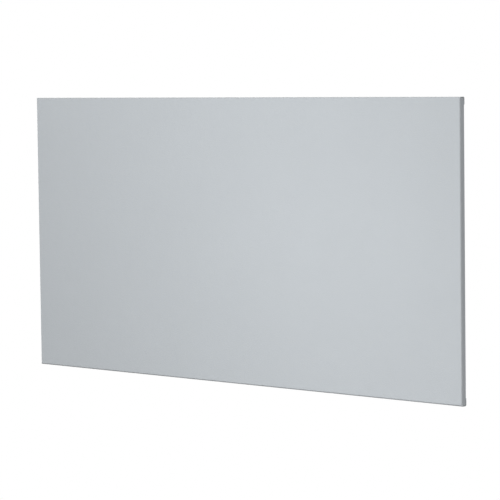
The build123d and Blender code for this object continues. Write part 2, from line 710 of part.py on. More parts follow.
def connection_box():
    """Moulded tray with corner bosses and ports in its floor and underside."""
    box = layer(box_outline(), cover_outer_y, rim_y) - layer(box_outline(BOX_WALL), floor_y, rim_y)
    for x, z in boss_places():
        box += layer(Pos(x, z) * Circle(BOSS_RADIUS), floor_y, rim_y)
    screw_end_y = lid_outer_y - LID_COUNTERBORE - LID_SCREW_LENGTH
    for x, z in boss_places():
        box -= layer(Pos(x, z) * Circle(LID_SCREW_RADIUS + PILOT_GAP), screw_end_y, rim_y)

    floor_holes = [(x, z, RIVET_RADIUS + RIVET_GAP) for x, z in box_rivet_places()]
    floor_holes.append((0, grommet_z, GROMMET_HOLE_RADIUS))
    floor_holes.append((earth_x, earth_z, EARTH_STUD_RADIUS + SCREW_HOLE_GAP))
    for x, z, radius in floor_holes:
        box -= layer(Pos(x, z) * Circle(radius), cover_outer_y, floor_y)
    for x in ear_places():
        pilot = Pos(x, block_z) * Circle(BLOCK_SCREW_RADIUS + PILOT_GAP)
        box -= layer(pilot, floor_y - BLOCK_SCREW_BITE, floor_y)

    gland_hole = Cylinder(GLAND_THREAD_RADIUS + GLAND_GAP, 3 * BOX_WALL)
    box -= Pos(GLAND_OFFSET, port_y, box_low_z) * gland_hole
    switch_hole = Box(HOUSING_LENGTH + 2 * HOUSING_GAP, HOUSING_WIDTH + 2 * HOUSING_GAP, 3 * BOX_WALL)
    return box - Pos(SWITCH_OFFSET, port_y, box_low_z) * switch_hole


def box_gasket():
    """Flat seal that follows the rim and rings the screw bosses."""
    seal = box_outline(GASKET_INSET) - box_outline(BOX_WALL)
    for x, z in boss_places():
        seal += Pos(x, z) * Circle(BOSS_RADIUS - GASKET_INSET)
    for x, z in boss_places():
        seal -= Pos(x, z) * Circle(LID_SCREW_RADIUS + SCREW_HOLE_GAP)
    return layer(seal, rim_y, lid_inner_y)


def box_lid():
    """Lid with a rounded edge, sunk screw seats and a locating rim."""
    lid = layer(box_outline(), lid_inner_y, lid_outer_y)
    lid = fillet(lid.faces().sort_by(Axis.Y)[-1].edges(), LID_EDGE)
    rim_outer = BOX_WALL + LID_RIM_PLAY
    rim = box_outline(rim_outer) - box_outline(rim_outer + LID_RIM_SHEET)
    for x, z in boss_places():
        rim -= Pos(x, z) * Circle(BOSS_RADIUS + LID_RIM_PLAY)
    lid += layer(rim, rim_y - LID_RIM_HEIGHT, lid_inner_y)
    for x, z in boss_places():
        lid -= layer(Pos(x, z) * Circle(LID_SCREW_RADIUS + SCREW_HOLE_GAP), lid_inner_y, lid_outer_y)
        seat = Pos(x, z) * Circle(LID_HEAD_RADIUS + LID_RIM_PLAY)
        lid -= layer(seat, lid_outer_y - LID_COUNTERBORE, lid_outer_y)
    return lid


def cable_grommet():
    """Rubber bush in the cover and the box floor, round the two leads."""
    near = cover_inner_y - GROMMET_FLANGE_SHEET
    far = floor_y + GROMMET_FLANGE_SHEET
    waist = GROMMET_HOLE_RADIUS - GROMMET_GAP
    outline = [
        (GROMMET_BORE_RADIUS, near),
        (GROMMET_FLANGE_RADIUS - GROMMET_FLANGE_TAPER, near),
        (GROMMET_FLANGE_RADIUS, cover_inner_y),
        (waist, cover_inner_y),
        (waist, floor_y),
        (GROMMET_FLANGE_RADIUS, floor_y),
        (GROMMET_FLANGE_RADIUS - GROMMET_FLANGE_TAPER, far),
        (GROMMET_BORE_RADIUS, far),
    ]
    return towards_wall(0, 0, grommet_z) * turned(outline)


def ear_places():
    """X of the two screws in the ears of the terminal block."""
    reach = (POLE_COUNT * POLE_PITCH + BLOCK_EAR_WIDTH) / 2
    return [BLOCK_OFFSET - reach, BLOCK_OFFSET + reach]


def pole_places():
    """X of each pole of the terminal block, from left to right."""
    return [BLOCK_OFFSET + x for x in centred(POLE_COUNT, POLE_PITCH)]


def terminal_block():
    """Tapered block with wire entries, screw wells, grooves and ears."""
    profile = Polyline(
        (floor_y, block_z - BLOCK_LENGTH / 2),
        (floor_y, block_z + BLOCK_LENGTH / 2),
        (floor_y + BLOCK_HEIGHT / 2, block_z + BLOCK_LENGTH / 2),
        (floor_y + BLOCK_HEIGHT, block_z + BLOCK_TOP_LENGTH / 2),
        (floor_y + BLOCK_HEIGHT, block_z - BLOCK_TOP_LENGTH / 2),
        (floor_y + BLOCK_HEIGHT / 2, block_z - BLOCK_LENGTH / 2),
        close=True,
    )
    body_width = POLE_COUNT * POLE_PITCH
    start = Plane.YZ.offset(BLOCK_OFFSET - body_width / 2)
    block = extrude(start * make_face(profile), amount=body_width)
    ears = Pos(BLOCK_OFFSET, block_z) * RectangleRounded(
        body_width + 2 * BLOCK_EAR_WIDTH, BLOCK_TOP_LENGTH, BLOCK_EAR_CORNER
    )
    block += layer(ears, floor_y, floor_y + BLOCK_EAR_HEIGHT)
    for x in ear_places():
        hole = Pos(x, block_z) * Circle(BLOCK_SCREW_RADIUS + SCREW_HOLE_GAP)
        block -= layer(hole, floor_y, floor_y + BLOCK_EAR_HEIGHT)
    top = floor_y + BLOCK_HEIGHT
    for x in pole_places()[1:]:
        groove = Pos(x - POLE_PITCH / 2, block_z) * Rectangle(BLOCK_GROOVE, 2 * BLOCK_LENGTH)
        block -= layer(groove, top - BLOCK_GROOVE_DEPTH, top)
    for x in pole_places():
        for up in (-1, 1):
            entry_z = block_z + up * (BLOCK_LENGTH - ENTRY_DEPTH) / 2
            block -= Pos(x, entry_y, entry_z) * Cylinder(ENTRY_RADIUS, ENTRY_DEPTH)
            well = Pos(x, block_z + up * CLAMP_SCREW_SPACING / 2) * Circle(
                CLAMP_SCREW_RADIUS + SCREW_HOLE_GAP
            )
            block -= layer(well, entry_y, top)
    return block


def terminal_screws():
    """Slotted clamp screws, two for each pole, resting on their wires."""
    low = entry_y + LEAD_RADIUS
    screw = Cylinder(
        CLAMP_SCREW_RADIUS, CLAMP_SCREW_LENGTH, align=(Align.CENTER, Align.CENTER, Align.MIN)
    )
    slot = Box(3 * CLAMP_SCREW_RADIUS, CLAMP_SCREW_SLOT, 2 * CLAMP_SCREW_SLOT)
    screw -= Pos(0, 0, CLAMP_SCREW_LENGTH) * slot
    return [
        towards_wall(x, low, block_z + up * CLAMP_SCREW_SPACING / 2) * screw
        for x in pole_places()
        for up in (-1, 1)
    ]


def block_screws():
    """Screws through the block's ears into the floor of the box."""
    length = BLOCK_EAR_HEIGHT + BLOCK_SCREW_BITE
    screw = pan_screw(BLOCK_SCREW_RADIUS, length, BLOCK_HEAD_RADIUS, BLOCK_HEAD_HEIGHT)
    return [towards_wall(x, floor_y + BLOCK_EAR_HEIGHT, block_z) * screw for x in ear_places()]


def earth_stud():
    """Stud welded inside the cover, through the floor of the box."""
    outline = [
        (0, -EARTH_FLANGE_SHEET),
        (EARTH_FLANGE_RADIUS, -EARTH_FLANGE_SHEET),
        (EARTH_FLANGE_RADIUS, 0),
        (EARTH_STUD_RADIUS, 0),
        (EARTH_STUD_RADIUS, EARTH_STUD_LENGTH - EARTH_STUD_TIP),
        (EARTH_STUD_RADIUS - EARTH_STUD_TIP, EARTH_STUD_LENGTH),
        (0, EARTH_STUD_LENGTH),
    ]
    return towards_wall(earth_x, cover_inner_y, earth_z) * turned(outline)


def earth_ring():
    """Ring terminal under the nut, with a barrel up to the earth lead."""
    eye = Circle(EARTH_RING_RADIUS)
    tongue = Pos(0, EARTH_RING_RADIUS) * Rectangle(2 * BARREL_RADIUS, 2 * EARTH_RING_RADIUS)
    outline = eye + tongue - Circle(EARTH_STUD_RADIUS + SCREW_HOLE_GAP)
    plate = layer(Pos(earth_x, earth_z) * outline, floor_y, floor_y + EARTH_RING_SHEET)
    barrel = Cylinder(
        BARREL_RADIUS, EARTH_BARREL_LENGTH, align=(Align.CENTER, Align.CENTER, Align.MIN)
    )
    return plate + Pos(earth_x, earth_barrel_y, earth_barrel_z) * barrel


def earth_nut():
    """Chamfered hexagon nut on the earth stud."""
    return towards_wall(earth_x, floor_y + EARTH_RING_SHEET, earth_z) * hex_nut(
        EARTH_NUT_FLATS, EARTH_NUT_HEIGHT, EARTH_STUD_RADIUS + NUT_GAP
    )


def hex_nut(flats, height, bore_radius):
    """Hexagon nut on Z from zero up, its corners turned off at both ends."""
    hexagon = RegularPolygon(flats / 2, 6, major_radius=False)
    corner = flats / 2 / cos(radians(30))
    turned_off = (corner - flats / 2) * NUT_CHAMFER
    envelope = turned(
        [
            (0, 0),
            (flats / 2, 0),
            (corner, turned_off),
            (corner, height - turned_off),
            (flats / 2, height),
            (0, height),
        ]
    )
    return (extrude(hexagon, amount=height) & envelope) - Cylinder(bore_radius, 4 * height)


# ---------------------------------------------------------------- cable gland
def gland_place(down):
    """Point on the gland's axis, a distance below the box's underside."""
    return downwards(GLAND_OFFSET, port_y, box_low_z - down)


def gland_body():
    """Hexagon collar between the spigot in the box and the threaded neck."""
    body = hex_nut(GLAND_FLATS, GLAND_COLLAR, GLAND_BORE_RADIUS)
    spigot = Cylinder(
        GLAND_THREAD_RADIUS, GLAND_SPIGOT + GLAND_WASHER, align=(Align.CENTER, Align.CENTER, Align.MAX)
    )
    neck = Pos(0, 0, GLAND_COLLAR) * Cylinder(
        GLAND_THREAD_RADIUS, GLAND_NECK, align=(Align.CENTER, Align.CENTER, Align.MIN)
    )
    neck_end = GLAND_COLLAR + GLAND_NECK
    seat = Pos(0, 0, neck_end) * Cylinder(GLAND_SEAT_RADIUS, 2 * GLAND_SEAT_DEPTH)
    bore = Cylinder(GLAND_BORE_RADIUS, 4 * neck_end)
    return gland_place(GLAND_WASHER) * (body + spigot + neck - seat - bore)


def gland_washer():
    """Flat rubber ring under the collar."""
    ring = Circle(GLAND_FLATS / 2) - Circle(GLAND_THREAD_RADIUS + GLAND_GAP)
    return gland_place(0) * extrude(ring, amount=GLAND_WASHER)


def gland_seal():
    """Rubber sleeve that grips the cable, half in the neck, half in the nut."""
    start = GLAND_WASHER + GLAND_COLLAR + GLAND_NECK - GLAND_SEAT_DEPTH
    ring = Circle(GLAND_SEAT_RADIUS - GLAND_GAP) - Circle(CABLE_BORE_RADIUS)
    return gland_place(start) * extrude(ring, amount=SEAL_LENGTH)


def gland_nut():
    """Domed hexagon cap nut that squeezes the seal."""
    hexagon = extrude(RegularPolygon(GLAND_FLATS / 2, 6, major_radius=False), amount=GLAND_NUT_LENGTH)
    corner = GLAND_FLATS / 2 / cos(radians(30))
    lip_radius = GLAND_EXIT_RADIUS + GLAND_NUT_LIP
    outline = Polyline(
        (lip_radius, GLAND_NUT_LENGTH),
        (0, GLAND_NUT_LENGTH),
        (0, 0),
        (GLAND_FLATS / 2, 0),
        (corner, GLAND_NUT_EDGE),
        (corner, GLAND_NUT_FLANK),
    )
    shoulder = ThreePointArc(
        (corner, GLAND_NUT_FLANK),
        (corner * GLAND_DOME_SHARE, (GLAND_NUT_FLANK + GLAND_NUT_LENGTH) / 2 + GLAND_DOME_RISE),
        (lip_radius, GLAND_NUT_LENGTH),
    )
    envelope = revolve(Plane.XZ * make_face([outline, shoulder]), Axis.Z)
    seat_end = GLAND_NUT_LENGTH - GLAND_EXIT_LENGTH
    inside = turned(
        [
            (0, 0),
            (GLAND_THREAD_RADIUS + GLAND_GAP, 0),
            (GLAND_THREAD_RADIUS + GLAND_GAP, GLAND_NECK),
            (GLAND_SEAT_RADIUS, GLAND_NECK + GLAND_THREAD_RUNOUT),
            (GLAND_SEAT_RADIUS, seat_end),
            (GLAND_EXIT_RADIUS, seat_end),
            (GLAND_EXIT_RADIUS, GLAND_NUT_LENGTH),
            (0, GLAND_NUT_LENGTH),
        ]
    )
    start = GLAND_WASHER + GLAND_COLLAR + GLAND_NUT_START
    return gland_place(start) * ((hexagon & envelope) - inside)


def gland_locknut():
    """Hexagon nut on the spigot, against the inside of the box."""
    nut = hex_nut(GLAND_FLATS, GLAND_LOCKNUT, GLAND_THREAD_RADIUS + GLAND_GAP)
    return gland_place(-BOX_WALL - GLAND_LOCKNUT) * nut


# -------------------------------------------------------------- rocker switch
def switch_place(z):
    """Point on the switch's axis at a height, facing down out of the box."""
    return downwards(SWITCH_OFFSET, port_y, z)


def switch_housing():
    """Snap-in housing: bezel, latches, an open well and the pivot's bores."""
    bezel = extrude(RectangleRounded(BEZEL_LENGTH, BEZEL_WIDTH, BEZEL_ROUND), amount=BEZEL_SHEET)
    bezel = fillet(bezel.faces().sort_by(Axis.Z)[-1].edges(), BEZEL_EDGE)
    body = extrude(Rectangle(HOUSING_LENGTH, HOUSING_WIDTH), amount=-HOUSING_DEPTH)
    housing = bezel + body
    latch_top = -BOX_WALL - HOUSING_GAP
    for side in (-1, 1):
        barb = Polyline(
            (side * HOUSING_LENGTH / 2, latch_top),
            (side * (HOUSING_LENGTH / 2 + LATCH_DEPTH), latch_top),
            (side * HOUSING_LENGTH / 2, latch_top - LATCH_LENGTH),
            close=True,
        )
        housing += extrude(Plane.XZ * make_face(barb), amount=LATCH_WIDTH / 2, both=True)
    well = Box(WELL_LENGTH, WELL_WIDTH, WELL_DEPTH, align=(Align.CENTER, Align.CENTER, Align.MAX))
    housing -= Pos(0, 0, BEZEL_SHEET) * well
    bore = Rot(90, 0, 0) * Cylinder(PIVOT_RADIUS + PIVOT_GAP, 2 * HOUSING_WIDTH)
    housing -= Pos(0, 0, BEZEL_SHEET - PIVOT_DEPTH) * bore
    return switch_place(box_low_z) * housing


def switch_tabs():
    """Two spade tabs on the inner end of the switch housing."""
    tab = Box(SPADE_SHEET, SPADE_WIDTH, SPADE_LENGTH)
    middle_z = housing_end_z + SPADE_LENGTH / 2
    return [Pos(x, port_y, middle_z) * tab for x in spade_places()]


def spade_places():
    """X of the two tabs of the switch, inner one first."""
    return [SWITCH_OFFSET + x for x in centred(2, SPADE_SPACING)]


def switch_rocker():
    """Rocker with a hollow top, round ends and pivot pins, tilted to off."""
    section = Circle(ROCKER_RADIUS)
    section -= Pos(0, ROCKER_HEIGHT + ROCKER_DISH) * Circle(ROCKER_DISH)
    below = Rectangle(3 * ROCKER_RADIUS, ROCKER_RADIUS, align=(Align.CENTER, Align.MAX))
    section -= Pos(0, -ROCKER_BELOW) * below
    body = extrude(Plane.XZ * section, amount=ROCKER_WIDTH / 2, both=True)
    pins = Rot(90, 0, 0) * Cylinder(PIVOT_RADIUS, 2 * PIVOT_END)
    rocker = Rot(0, ROCKER_TILT, 0) * (body + pins)
    return switch_place(pivot_z) * rocker


# -------------------------------------------------------------- internal leads
def receptacle(x):
    """Folded push-on connector over a spade tab of the switch."""
    width = SPADE_WIDTH + 2 * (RECEPTACLE_PLAY + RECEPTACLE_WALL)
    thickness = SPADE_SHEET + 2 * (RECEPTACLE_PLAY + RECEPTACLE_WALL)
    shell = fillet(Box(thickness, width, SPADE_LENGTH).edges().filter_by(Axis.Z), RECEPTACLE_WALL)
    slot = Box(SPADE_SHEET + 2 * RECEPTACLE_PLAY, SPADE_WIDTH + 2 * RECEPTACLE_PLAY, SPADE_LENGTH)
    shell -= Pos(0, 0, -RECEPTACLE_WALL) * slot
    middle_z = spade_end_z - SPADE_LENGTH / 2 + RECEPTACLE_WALL + RECEPTACLE_PLAY
    return Pos(x, port_y, middle_z) * shell


def lead_start(pole):
    """End of a lead inside its upper wire entry of the terminal block."""
    return (pole_places()[pole], entry_y, block_top_z - ENTRY_DEPTH / 2)


def lead_live():
    """From the middle pole over to the outer tab of the switch."""
    pole_x, depth, start_z = lead_start(1)
    high = block_top_z + LEAD_RISE + LEAD_STEP
    tab = spade_places()[1]
    end_z = spade_end_z + RECEPTACLE_WALL
    points = [(pole_x, depth, start_z), (pole_x, depth, high), (tab, port_y, high), (tab, port_y, end_z)]
    return tube_route(points, LEAD_BEND) + receptacle(tab)


def lead_switched():
    """From the inner tab of the switch through the grommet to the cut-out."""
    tab = spade_places()[0]
    x = GROMMET_LEAD_SPACING / 2
    end_z = cutout_high_z + CUTOUT_WIRE_LENGTH
    points = [
        (tab, port_y, spade_end_z + RECEPTACLE_WALL),
        (tab, port_y, grommet_z),
        (x, port_y, grommet_z),
        (x, cutout_y, grommet_z),
        (tab_x, cutout_y, grommet_z),
        (tab_x, cutout_y, end_z),
    ]
    return tube_route(points, LEAD_BEND) + receptacle(tab)


def lead_neutral():
    """From the right pole through the grommet to the other element tab."""
    pole_x, depth, start_z = lead_start(2)
    high = block_top_z + LEAD_RISE
    x = -GROMMET_LEAD_SPACING / 2
    points = [
        (pole_x, depth, start_z),
        (pole_x, depth, high),
        (x, depth, high),
        (x, depth, grommet_z),
        (x, cutout_y, grommet_z),
        (-tab_x, cutout_y, grommet_z),
        (-tab_x, cutout_y, barrel_end_z),
    ]
    return tube_route(points, LEAD_BEND)


def lead_earth():
    """From the left pole over the others and down to the ring terminal."""
    pole_x, depth, start_z = lead_start(0)
    high = block_top_z + LEAD_RISE + 2 * LEAD_STEP
    end_z = earth_barrel_z + EARTH_BARREL_LENGTH
    points = [
        (pole_x, depth, start_z),
        (pole_x, depth, high),
        (earth_x, earth_barrel_y, high),
        (earth_x, earth_barrel_y, end_z),
    ]
    return tube_route(points, LEAD_BEND)


# ------------------------------------------------------------------- fixings
def cover_screws():
    """Pan-head screws up both sides of the rear cover."""
    screw = pan_screw(COVER_SCREW_RADIUS, COVER_SCREW_LENGTH, COVER_HEAD_RADIUS, COVER_HEAD_HEIGHT)
    return [towards_wall(x, cover_outer_y, z) * screw for x, z in cover_screw_places()]


def rail_rivets():
    """Blind rivets through the rail feet and the cover."""
    rivet = blind_rivet(RAIL_SHEET + COVER_SHEET)
    return [towards_wall(x, cover_outer_y + RAIL_SHEET, z) * rivet for x, z in rail_rivet_places()]


def box_rivets():
    """Blind rivets through the box floor and the cover."""
    rivet = blind_rivet(BOX_WALL + COVER_SHEET)
    return [towards_wall(x, floor_y, z) * rivet for x, z in box_rivet_places()]


def lid_screws():
    """Pan-head screws in the sunk seats of the lid."""
    screw = pan_screw(LID_SCREW_RADIUS, LID_SCREW_LENGTH, LID_HEAD_RADIUS, LID_HEAD_HEIGHT)
    return [towards_wall(x, lid_outer_y - LID_COUNTERBORE, z) * screw for x, z in boss_places()]


# --------------------------------------------------------------------- output
def save(name, shape):
    """Writes one node; a list is a group of separate solids."""
    solids = shape if isinstance(shape, list) else [shape]
    export_step(Compound(children=solids) if len(solids) > 1 else solids[0], f"parts/{name}.step")


os.makedirs("parts", exist_ok=True)
save("front_panel", front_panel())
save("front_insulation_film", film(front_y + PANEL_SHEET, FILM_SHEET))
save("heating_element", heating_element())
save("element_terminals", element_terminals())
save("rear_insulation_film", film(element_rear_y, FILM_SHEET, tab_windows()))
save("reflector_foil", film(reflector_front_y, REFLECTOR_SHEET, [pocket()]))
save("insulation_board", insulation_board())
save("thermal_cutout", thermal_cutout())
save("rear_cover", rear_cover())
save("cover_screws", cover_screws())
save("hanger_rail_left", hanger_rail(-RAIL_SPACING / 2))
save("hanger_rail_right", hanger_rail(RAIL_SPACING / 2))
save("rail_rivets", rail_rivets())
save("wall_buffers", wall_buffers())
save("connection_box", connection_box())
save("box_gasket", box_gasket())
save("box_lid", box_lid())
save("lid_screws", lid_screws())
save("box_rivets", box_rivets())
save("cable_grommet", cable_grommet())
save("terminal_block", terminal_block())
save("terminal_screws", terminal_screws())
save("block_screws", block_screws())
save("earth_stud", earth_stud())
save("earth_ring", earth_ring())
save("earth_nut", earth_nut())
save("gland_body", gland_body())
save("gland_washer", gland_washer())
save("gland_seal", gland_seal())
save("gland_nut", gland_nut())
save("gland_locknut", gland_locknut())
save("switch_housing", switch_housing())
save("switch_tabs", switch_tabs())
save("switch_rocker", switch_rocker())
save("lead_live", lead_live())
save("lead_switched", lead_switched())
save("lead_neutral", lead_neutral())
save("lead_earth", lead_earth())
save("wall_bracket_left", wall_bracket(-RAIL_SPACING / 2))
save("wall_bracket_right", wall_bracket(RAIL_SPACING / 2))
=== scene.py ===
import json
from math import pi, radians

import bpy
import bmesh
import numpy as np
from mathutils import Matrix, Vector


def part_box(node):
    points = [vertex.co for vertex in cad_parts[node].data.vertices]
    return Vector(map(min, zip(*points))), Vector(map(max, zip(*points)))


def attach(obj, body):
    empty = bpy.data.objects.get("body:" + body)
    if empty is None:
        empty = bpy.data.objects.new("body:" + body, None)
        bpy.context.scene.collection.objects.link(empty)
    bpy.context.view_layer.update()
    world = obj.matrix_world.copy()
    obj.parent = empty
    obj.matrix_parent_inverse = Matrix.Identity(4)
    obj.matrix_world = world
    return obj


# Finishes and small details of the infrared panel heater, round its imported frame.
# Metres throughout. X runs along the panel's width, +Z is up, the warm front faces -Y.
# A pattern's scale counts its grains along a metre. Colours are in linear light.

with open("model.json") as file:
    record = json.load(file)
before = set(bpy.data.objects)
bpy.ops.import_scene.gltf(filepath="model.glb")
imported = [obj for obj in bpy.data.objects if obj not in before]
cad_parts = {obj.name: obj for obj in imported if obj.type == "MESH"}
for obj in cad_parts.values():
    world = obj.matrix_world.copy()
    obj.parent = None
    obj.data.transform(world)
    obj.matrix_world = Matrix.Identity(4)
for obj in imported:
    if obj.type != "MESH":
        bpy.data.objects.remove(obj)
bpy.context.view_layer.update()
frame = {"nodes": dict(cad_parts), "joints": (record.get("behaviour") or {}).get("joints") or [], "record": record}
nodes = frame["nodes"]
MM = 0.001

# ------------------------------------------------------------------ viewpoint
CAMERA_PLACE = Vector((3.5906, -3.8913, 0.3561))
CAMERA_YAW = radians(42.66)  # to the left of straight at the wall
CAMERA_PITCH = radians(-4.078)
CAMERA_ROLL = radians(-0.716)
CAMERA_LENS = 181.6  # millimetres, on a sensor 36 mm wide
SENSOR_WIDTH = 36.0

# ---------------------------------------------------------------------- light
SKY_LEVEL = 0.53  # what the surroundings give to matt surfaces, white being 1
SKY_SLOPE = 0.06  # how much more comes from overhead than from the side
KEY_PLACE = Vector((0.44, -2.48, 1.63))  # soft lamp high in front of the panel
KEY_AIM = Vector((0.0, 0.0, 0.0))
KEY_SIZE = 1.00
KEY_POWER = 43.0
GLOW_PLACE = Vector((0.38, -0.91, 0.07))  # weak lamp close to the face
GLOW_AIM = Vector((-0.82, 0.0, -1.50))
GLOW_SIZE = 0.61
GLOW_POWER = 2.4
SIDE_PLACE = Vector((1.50, -0.95, -0.90))  # weak lamp low beside the +X end
SIDE_AIM = Vector((0.60, 0.0, -0.30))
SIDE_SIZE = 0.50
SIDE_POWER = 2.4
REAR_PLACE = Vector((0.50, 1.50, 1.15))  # soft lamp high behind the panel
REAR_AIM = Vector((0.0, 0.0, 0.0))
REAR_SIZE = 0.70
REAR_POWER = 12.0

# ---------------------------------------------------------------------- floor
FLOOR_DROP = 1.10  # panel's bottom edge to the floor
FLOOR_RADIUS = 9.00
FADE_START = 1.10  # where the floor starts to pass into the white surroundings
FADE_END = 2.30
FLOOR_LIFT = 0.50  # light added to it where it is seen
FLOOR_TONE = (0.62, 0.62, 0.62, 1.0)  # where it is seen
FLOOR_BOUNCE = (0.12, 0.12, 0.12, 1.0)  # for the light that it gives back
FLOOR_GRAIN = 6.0
FLOOR_MOTTLE = (0.985, 1.015)
FLOOR_ROUGHNESS = 0.9
FLOOR_SPECULAR = 0.2
FLOOR_RINGS = 24
FLOOR_SPOKES = 96

# -------------------------------------------------------------- small details
WELD = 1e-7  # points closer than this are one point

RIVET_ROWS = 4
RIVET_HEAD = 3.2 * MM  # radius of a rail rivet's head
MANDREL_RADIUS = 0.84 * MM
MANDREL_SUNK = 0.7 * MM  # head's crown to the floor of its recess
MANDREL_HEIGHT = 0.42 * MM
MANDREL_FALL = 0.35  # drop from its middle to its rim, as a share of its height
MANDREL_LOBE = 0.12  # swing of its rim, as a share of its height
MANDREL_LOBES = 3
MANDREL_RINGS = 5
MANDREL_SIDES = 14

FLASH_SETBACK = 1.5 * MM  # wall to the moulding seam of a buffer
FLASH_THICKNESS = 0.14 * MM
FLASH_SIDES = 48
FLASH_SECTION = 8

GRIP_FLATS = 6  # of the gland's cap nut
GRIP_RIBS = 3  # on each flat
GRIP_SPACING = 2.2 * MM
GRIP_RADIUS = 0.34 * MM
GRIP_LENGTH = 5.4 * MM
GRIP_DROP = 4.4 * MM  # nut's upper end to the middle of the ribs
GRIP_TAPER = 8  # the higher, the blunter a rib's ends
GRIP_SECTION = 9
GRIP_STATIONS = 7

ROCKER_DISH = 16.0 * MM  # radius of the hollow top
ROCKER_HEIGHT = 3.2 * MM  # pivot to the top, in the middle
ROCKER_TILT = radians(11.0)
MARK_OFFSET = 4.7 * MM  # pivot to the middle of each mark
MARK_RAISE = 0.12 * MM
MARK_SINK = 0.05 * MM
BAR_LENGTH = 2.6 * MM
BAR_WIDTH = 0.55 * MM
RING_RADIUS = 1.15 * MM
RING_WIDTH = 0.5 * MM
MARK_SIDES = 40

# -------------------------------------------------------------------- colours
WHITE = (1.0, 1.0, 1.0, 1.0)
COAT_GREY = (0.566, 0.600, 0.628, 1.0)
COAT_BEND_SHADE = (0.310, 0.326, 0.340, 1.0)  # painted shade along the panel's bends, standing in for the darker reflection there
COAT_DUST = (0.66, 0.65, 0.62, 1.0)
COVER_ZINC = (0.47, 0.485, 0.50, 1.0)
RAIL_ZINC = (0.40, 0.415, 0.43, 1.0)
BRACKET_ZINC = (0.33, 0.34, 0.355, 1.0)
SCUFFED_ZINC = (0.62, 0.63, 0.64, 1.0)
ZINC_DUST = (0.46, 0.45, 0.42, 1.0)
PLATE_BLUE = (0.66, 0.68, 0.72, 1.0)
PLATE_YELLOW = (0.74, 0.70, 0.58, 1.0)
RIVET_GREY = (0.74, 0.75, 0.76, 1.0)
MANDREL_GREY = (0.34, 0.34, 0.35, 1.0)
RUBBER_BLACK = (0.028, 0.028, 0.029, 1.0)
BOX_BLACK = (0.040, 0.041, 0.043, 1.0)
GLAND_BLACK = (0.050, 0.050, 0.052, 1.0)
SWITCH_BLACK = (0.016, 0.016, 0.017, 1.0)
MOULDING_DUST = (0.30, 0.29, 0.27, 1.0)
INK_WHITE = (0.84, 0.84, 0.82, 1.0)
GLAZE_WHITE = (0.86, 0.84, 0.77, 1.0)
GLAZE_CREAM = (0.78, 0.74, 0.64, 1.0)
BRASS_YELLOW = (0.76, 0.66, 0.44, 1.0)
FILM_DEEP = (0.66, 0.40, 0.09, 1.0)
FILM_PALE = (0.74, 0.50, 0.16, 1.0)
ETCHED_GREY = (0.46, 0.45, 0.43, 1.0)
FOIL_SILVER = (0.86, 0.87, 0.88, 1.0)
CUTOUT_GREY = (0.70, 0.70, 0.69, 1.0)
BOARD_BUFF = (0.72, 0.68, 0.55, 1.0)
BOARD_CREAM = (0.86, 0.83, 0.74, 1.0)
BOARD_SHOT = (0.30, 0.25, 0.18, 1.0)
SLEEVE_BROWN = (0.16, 0.07, 0.03, 1.0)
SLEEVE_BLUE = (0.05, 0.19, 0.50, 1.0)
SLEEVE_GREEN = (0.10, 0.34, 0.06, 1.0)
SLEEVE_YELLOW = (0.72, 0.62, 0.05, 1.0)

# ------------------------------------------------------------ shared patterns
NOISE_LOW = 0.30  # nearly all of a noise lies between these two
NOISE_HIGH = 0.70
NOISE_MEAN = 0.5

PEEL_RIPPLES = 0.75  # shares of the ripples and of the grain in the height
PEEL_GRAIN = 0.25
PEEL_FINENESS = 4.3  # grains along one ripple
PEEL_CLOUDS = 0.25  # shares of the clouds and of the specks in the mottle
PEEL_SPECKS = 0.75
CLOUD_SCALE = 7.0
SPECK_FINENESS = 1.9  # specks along one ripple

FEATHER_SCALE = 900.0  # noise that feathers the rims of the zinc's crystals
FEATHER_DEPTH = 2.4 * MM
CRYSTAL_FINENESS = 2.7  # small crystals along a large one
CRYSTAL_LARGE = 0.45  # shares of the two sizes in the shade
CRYSTAL_SMALL = 0.55
CRYSTAL_GLOSS = (0.36, 0.52)  # roughness from one crystal to another
BLOOM_SCALE = 9.0
BLOOM_SWING = 0.14

PATCH_SCALE = 11.0  # patches that hold the scuffs
SCUFF_EDGE = 0.05  # how far the noise rises from no scuff to a full one
WORN_SCALE = 55.0
WORN_SHADE = (0.82, 1.20)
PIT_FINENESS = 1.7  # fine grains along one pit of a moulding
PIT_GRAIN = 0.5  # height of the fine grain, a pit's being 1
CLUMP_SCALE = 70.0
DUST_FACING = (-0.2, 0.9)  # how far up a face looks, from least dust to most
DUST_LYING = (0.15, 1.0)

# ------------------------------------------------------------------- finishes
ALONG_X = (40.0, 900.0, 900.0)  # scratches drawn out along one axis
ALONG_Z = (900.0, 900.0, 40.0)
FINE = (700.0, 700.0, 700.0)

COAT_SPECULAR = 0.25
COAT_RIPPLE = 520.0
COAT_MOTTLE = 0.16
# reach of the painted shade along the bends, and its share where it is strongest
COAT_BEND = 3.0 * MM
COAT_BEND_SHADING = 0.85
COAT_WIPING = (26.0, 26.0, 5.0)
COAT_WIPED = 0.60
COAT_DUSTING = 0.16
COAT_ROUGHNESS = (0.48, 0.56)
COAT_SHEET_WAVES = 4.5  # unevenness of the sheet under the coat
COAT_SHEET_DEPTH = 1.2 * MM
COAT_PEEL_DEPTH = 0.34 * MM

ZINC_CONTRAST = 0.24
ZINC_SCUFFED = 0.64
ZINC_STREAKS = (0.93, 1.07)
ZINC_DUSTING = 0.30
ZINC_METAL = (0.70, 0.55)  # how metallic it is, from clean to dusty
ZINC_DULLING = 0.4  # what full dust adds to the roughness
ZINC_DEPTH = 0.03 * MM

PLATE_PATCHES = 260.0
PLATE_GRIME = 900.0
PLATE_GRIMY = 0.62  # shade of the plating where it is dirtiest
PLATE_ROUGHNESS = (0.22, 0.38)
PLATE_GRAIN = 2400.0
PLATE_DEPTH = 0.02 * MM

METAL_SCUFFED = 0.60
METAL_TARNISH = 120.0
METAL_STREAKS = (0.92, 1.06)
METAL_ROUGHER = 0.16  # added to the roughness along the streaks
METAL_DEPTH = 0.02 * MM

